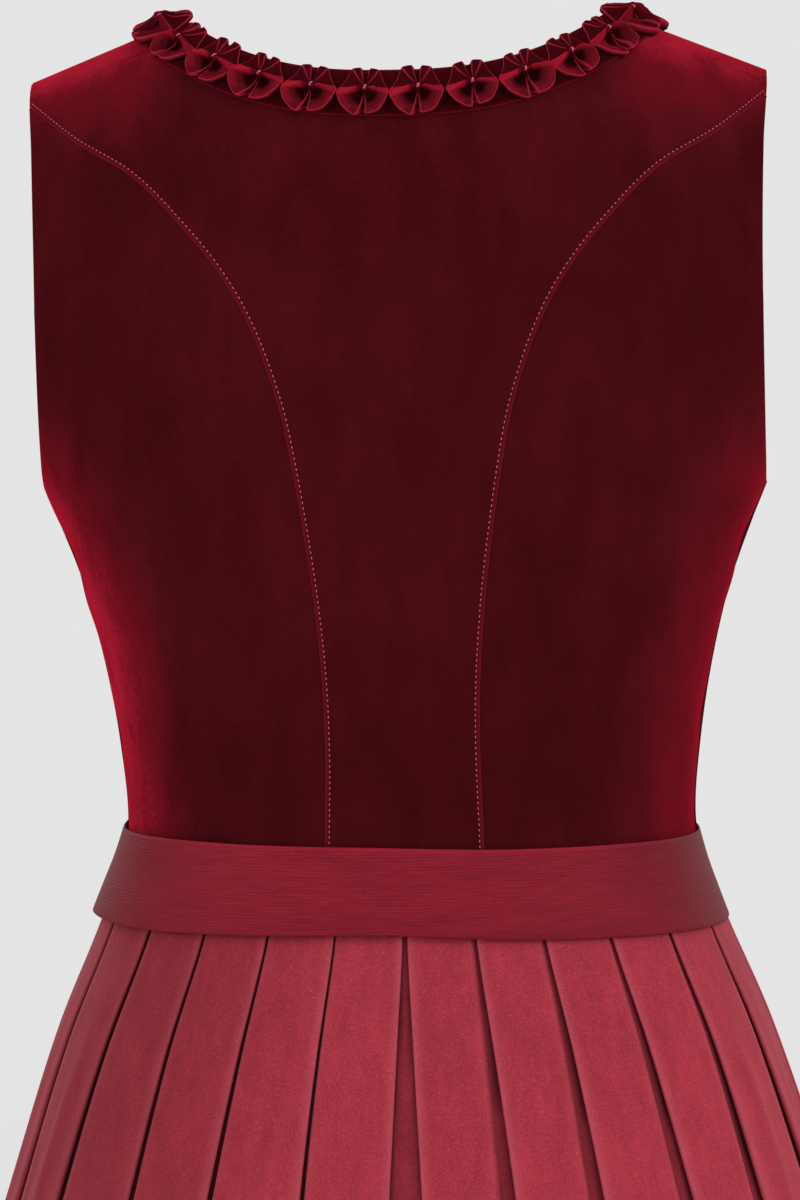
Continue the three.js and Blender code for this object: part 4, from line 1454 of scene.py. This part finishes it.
def pleat_run(z, side, ring):
    """Middle line of the cloth from the centre back to the centre front at one height: distance round and
    lift, each point's light on a fold's edge and shade in a fold, and where each fold turns back."""
    gap, underlap, layer, roll, short = (
        float(smooth_value(SKIRT, key, z)) for key in ("gap", "underlap", "layer", "roll", side)
    )
    pitch = (ring.long - gap) / (FOLDS_PER_SIDE - 0.5)
    hip = float(smoothstep(-z, 430, 620))
    fall = 0.55 * layer + 0.5 if side == "left" else 1.0 * layer + 0.7
    under = np.linspace(0, 1, 18) ** 0.7 * (gap + underlap - layer)
    level = np.zeros(len(under))
    line, light = [np.stack([under, level], 1)], [level]
    shade = [0.35 + 0.65 * smoothstep(under, gap - 2.4, gap - 0.4) * (1 if side == "left" else 0.8)]
    faint = 0.5 if side == "right" else 1.0
    marks = []
    for fold in range(FOLDS_PER_SIDE):
        stray = FOLD_STRAY[side][fold] * hip * (1 + hip) + 0.35 * hip * math.sin(z / 37.0 + 2.1 * fold)
        edge = gap + fold * pitch + stray
        inner = gap + fold * pitch + underlap
        full = 1 + (FOLD_FULLNESS[side][fold] - 1) * hip
        if fold:
            before = previous + 0.5 * roll
            foot = edge - short * FOLD_OPENING[side][fold]
            lip = foot - fall
            face = np.linspace(before, lip, 13)[1:]
            lift = 2 * layer - 0.2 * layer * smoothstep(face, before, lip)
            drop = np.linspace(lip, foot, 9)[1:]
            sunk = 1.8 * layer * (1 - smoothstep(drop, lip, foot))
            flat = np.linspace(foot, inner - roll, 6)[1:-1]
            xs = np.concatenate([face, drop, flat])
            ys = np.concatenate([lift, sunk, np.zeros(len(flat))])
            crease = face_rise(z, side, fold - 1, (xs - previous) / pitch, pitch)
            ys = ys + crease * smoothstep(lip - xs, 0, 6)
            line.append(np.stack([xs, np.maximum(ys, 0)], 1))
            light.append(bump((xs - before) / 1.6, 1.0) * 0.8 + 0.35 * bump((xs - lip + 0.6) / 1.2, 1.0))
            sunken = faint * smoothstep(xs, lip + 0.3 * fall, foot)
            shade.append(np.maximum(sunken, smoothstep(xs, edge - 2.0, edge - 0.6)))
        marks.append(sum(len(part) for part in line) + 3)
        turn = arc((inner - roll, layer / 2), (roll, layer / 2), -90, 90, 7)
        line.append(turn)
        light.append(np.zeros(len(turn)))
        shade.append(np.ones(len(turn)))
        back = np.linspace(inner - roll, edge + roll, 5)[1:-1]
        line.append(np.stack([back, np.full(len(back), layer)], 1))
        light.append(np.zeros(len(back)))
        shade.append(np.ones(len(back)))
        nose = min(roll * full, 0.3 * pitch)
        bulge = 0.25 * layer * (full - 1)
        outer = arc((edge + nose, 1.5 * layer + bulge), (nose, layer / 2 + bulge), 270, 90, 9)
        line.append(outer)
        light.append(bump(np.linspace(-1, 1, 9) - 0.6, 0.55))
        shade.append(1 - smoothstep(np.linspace(-1, 1, 9), -0.7, 0.0))
        previous = edge + nose
    last = np.linspace(previous, ring.long, 14)[1:]
    level = np.zeros(len(last))
    line.append(np.stack([last, level + 2 * layer], 1))
    light.append(level)
    shade.append(level)
    return np.concatenate(line), np.stack([np.concatenate(light), np.concatenate(shade)], 1), marks


def face_rise(z, side, fold, across, pitch):
    """Rise of the creases on one pleat's face."""
    rise = np.zeros(len(across))
    for crease in FACE_CREASES:
        if crease["side"] != side or crease["fold"] != fold:
            continue
        ends = smoothstep(-z, -crease["from"], -crease["from"] + 70)
        ends *= 1 - smoothstep(-z, -crease["to"] - 160, -crease["to"])
        wander = crease["across"] + 0.04 * math.sin(z / 61.0 + fold)
        rise += crease["rise"] * ends * bump((across - wander) * pitch, crease["wide"])
    return rise


def skirt_heights(rows):
    """Heights of the skirt's rows, closer together below the waist."""
    share = np.linspace(0, 1, rows)
    top, hem = SKIRT["z"][-1], SKIRT["z"][0]
    return top + (hem - top) * (0.62 * share + 0.38 * share**2)


def mitred(line):
    """Outward normals of a closed flat line, lengthened at its bends so that a wall keeps its thickness."""
    into = unit(line - np.roll(line, 1, axis=0))
    away = unit(np.roll(line, -1, axis=0) - line)
    along = unit(into + away)
    spread = np.sqrt(np.clip((1 + (into * away).sum(axis=1)) / 2, 0.12, 1))
    return np.stack([-along[:, 1], along[:, 0]], 1) / spread[:, None]


def skirt_sheets(settings):
    """Outer and inner points of the whole skirt by row, fold light and shade, and the side seams' places."""
    wall = settings.wall / MM
    outers, inners, lights = [], [], []
    for z in skirt_heights(settings.rows):
        ring = Ring(SKIRT, z)
        left, left_light, marks = pleat_run(z, "left", ring)
        right, right_light, _ = pleat_run(z, "right", ring)
        around = np.concatenate([left[:, 0], 2 * ring.long - right[-2:0:-1, 0]])
        lift = np.concatenate([left[:, 1], right[-2:0:-1, 1]])
        light = np.concatenate([left_light, right_light[-2:0:-1]])
        line = ring.place(around, lift + wall / 2)[:, :2]
        normal = mitred(line)
        height = np.full((len(line), 1), z)
        outers.append(np.concatenate([line + normal * wall / 2, height], 1))
        inners.append(np.concatenate([line - normal * wall / 2, height], 1))
        lights.append(light)
    seam = marks[SEAM_FOLD - 1]
    return np.stack(outers), np.stack(inners), np.stack(lights), (seam, outers[0].shape[0] - seam)


def closed_wall(outer, inner):
    """Faces of a wall between two grids of points, rows from the top down."""
    rows, columns = outer.shape[:2]
    size = rows * columns
    faces = [grid_faces(rows, columns), grid_faces(rows, columns, size, flip=True)]
    c = np.arange(columns - 1)
    r = np.arange(rows - 1) * columns
    last = (rows - 1) * columns
    faces.append(np.stack([c + 1, c, c + size, c + 1 + size], 1))
    faces.append(np.stack([last + c, last + c + 1, last + c + 1 + size, last + c + size], 1))
    faces.append(np.stack([r, r + columns, r + columns + size, r + size], 1))
    end = r + columns - 1
    faces.append(np.stack([end + columns, end, end + size, end + columns + size], 1))
    return np.concatenate([outer.reshape(-1, 3), inner.reshape(-1, 3)]), np.concatenate(faces)


class DIRNDL_OT_skirt(bpy.types.Operator):
    """Builds the pleated back and front of the skirt"""

    bl_idname = "dirndl.skirt"
    bl_label = "Pleated skirt"

    def execute(self, context):
        settings = context.scene.dirndl_skirt
        outer, inner, light, (left, right) = skirt_sheets(settings)
        twill = skirt_twill(settings)
        count = outer.shape[1]
        runs = {
            "skirt_back": np.concatenate([np.arange(right, count), np.arange(0, left + 1)]),
            "skirt_front": np.arange(left, right + 1),
        }
        for name, run in runs.items():
            out, back = outer[:, run].copy(), inner[:, run].copy()
            for edge, sign in ((0, 1), (-1, -1)):
                towards = unit((out[:, edge + sign] - out[:, edge]) + (back[:, edge + sign] - back[:, edge]))
                out[:, edge] += towards * SEAM_GAP / 2
                back[:, edge] += towards * SEAM_GAP / 2
            points, faces = closed_wall(out, back)
            folds, shades = (np.tile(light[:, run, k].ravel(), 2) for k in range(2))
            shades = np.maximum(shades, skirt_shade(points))
            panel = make_object(name, points, faces, twill, {"fold": folds, "shade": shades})
            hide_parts(name)
            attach(panel, "root")
        return {"FINISHED"}


# Stage

# The camera's turn from straight behind and its roll in degrees, its height, and the middle and height of
# what it frames in metres
CAMERA_TURN = -2.4
CAMERA_HEIGHT = -0.06
CAMERA_ROLL = -1.0
PHOTO_CENTRE = (0.0038, -0.277)
PHOTO_HEIGHT = 0.602

FLOOR_HALF = 9.0
SKY_STRENGTH = 0.78
CHEST_PLACE = (0.0, 0.0, -0.35)
PANEL_SIZE = (1.2, 1.8)

# Lamps: place in metres and power in watts
LAMPS = {
    "key": ((-2.1, 1.5, 0.9), 26),
    "fill": ((2.3, 1.2, 0.5), 22),
    "front_key": ((1.9, -1.8, 0.9), 22),
    "front_fill": ((-2.1, -1.6, 0.5), 18),
}


def soft_light(name, place, power):
    """A softbox aimed at the garment's chest."""
    lamp = bpy.data.lights.new(name, "AREA")
    lamp.shape = "RECTANGLE"
    lamp.size, lamp.size_y = PANEL_SIZE
    lamp.energy = power
    lamp.color = (1.0, 0.985, 0.97)
    thing = bpy.data.objects.new(name, lamp)
    thing.location = place
    thing.rotation_euler = (Vector(CHEST_PLACE) - Vector(place)).to_track_quat("-Z", "Y").to_euler()
    bpy.context.scene.collection.objects.link(thing)


class DIRNDL_OT_stage(bpy.types.Operator):
    """Sets up the floor, the soft studio light and the camera behind the garment"""

    bl_idname = "dirndl.stage"
    bl_label = "Floor, light and camera"

    def execute(self, context):
        settings = context.scene.dirndl_stage
        self.floor(settings)
        self.lights()
        self.camera(context, settings)
        return {"FINISHED"}

    def floor(self, settings):
        z = -settings.drop
        corners = [(x * FLOOR_HALF, y * FLOOR_HALF, z) for x, y in ((-1, -1), (1, -1), (1, 1), (-1, 1))]
        mesh = bpy.data.meshes.new("floor")
        mesh.from_pydata(corners, [], [(0, 1, 2, 3)])
        mesh.materials.append(studio_paper(settings.paper))
        floor = bpy.data.objects.new("floor", mesh)
        bpy.context.scene.collection.objects.link(floor)

    def lights(self):
        world = bpy.data.worlds.new("studio")
        world.use_nodes = True
        sky = world.node_tree.nodes["Background"].inputs
        sky["Color"].default_value = (1.0, 1.0, 1.0, 1.0)
        sky["Strength"].default_value = SKY_STRENGTH
        bpy.context.scene.world = world
        bpy.context.scene.view_settings.view_transform = "Standard"
        for name, (place, power) in LAMPS.items():
            soft_light(name, place, power)

    def camera(self, context, settings):
        turn = math.radians(CAMERA_TURN)
        place = Vector((math.sin(turn), math.cos(turn), 0)) * settings.distance
        place += Vector((PHOTO_CENTRE[0], 0.0, CAMERA_HEIGHT))
        aim = Vector((PHOTO_CENTRE[0], 0.0, PHOTO_CENTRE[1]))
        lens = bpy.data.cameras.new("camera")
        lens.sensor_fit = "VERTICAL"
        lens.angle = 2 * math.atan(PHOTO_HEIGHT / 2 / (aim - place).length)
        lens.clip_end = 60
        camera = bpy.data.objects.new("camera", lens)
        camera.location = place
        look = (aim - place).to_track_quat("-Z", "Y").to_matrix()
        roll = math.radians(CAMERA_ROLL)
        camera.rotation_euler = (look @ Matrix.Rotation(roll, 3, "Z")).to_euler()
        context.scene.collection.objects.link(camera)
        context.scene.camera = camera


# Add-on


class DIRNDL_PT_panel(bpy.types.Panel):
    bl_idname = "DIRNDL_PT_panel"
    bl_label = "Dirndl"
    bl_space_type = "VIEW_3D"
    bl_region_type = "UI"
    bl_category = "Dirndl"

    def draw(self, context):
        for group in GROUPS:
            settings = getattr(context.scene, group)
            box = self.layout.box()
            for name in settings.__annotations__:
                box.prop(settings, name)
        for operator in OPERATORS:
            self.layout.operator(operator.bl_idname)


GROUPS = {
    "dirndl_bodice": BodiceSettings,
    "dirndl_trim": TrimSettings,
    "dirndl_ribbon": RibbonSettings,
    "dirndl_skirt": SkirtSettings,
    "dirndl_stage": StageSettings,
}
OPERATORS = (
    DIRNDL_OT_stage, DIRNDL_OT_bodice, DIRNDL_OT_seams, DIRNDL_OT_trim, DIRNDL_OT_ribbon, DIRNDL_OT_skirt,
)


def register():
    for name, group in GROUPS.items():
        bpy.utils.register_class(group)
        setattr(bpy.types.Scene, name, PointerProperty(type=group))
    for operator in OPERATORS:
        bpy.utils.register_class(operator)
    bpy.utils.register_class(DIRNDL_PT_panel)


def unregister():
    bpy.utils.unregister_class(DIRNDL_PT_panel)
    for operator in reversed(OPERATORS):
        bpy.utils.unregister_class(operator)
    for name, group in GROUPS.items():
        delattr(bpy.types.Scene, name)
        bpy.utils.unregister_class(group)


def main():
    register()
    for step in (
        bpy.ops.dirndl.stage,
        bpy.ops.dirndl.bodice,
        bpy.ops.dirndl.seams,
        bpy.ops.dirndl.trim,
        bpy.ops.dirndl.ribbon,
        bpy.ops.dirndl.skirt,
    ):
        step()


if __name__ == "__main__":
    main()
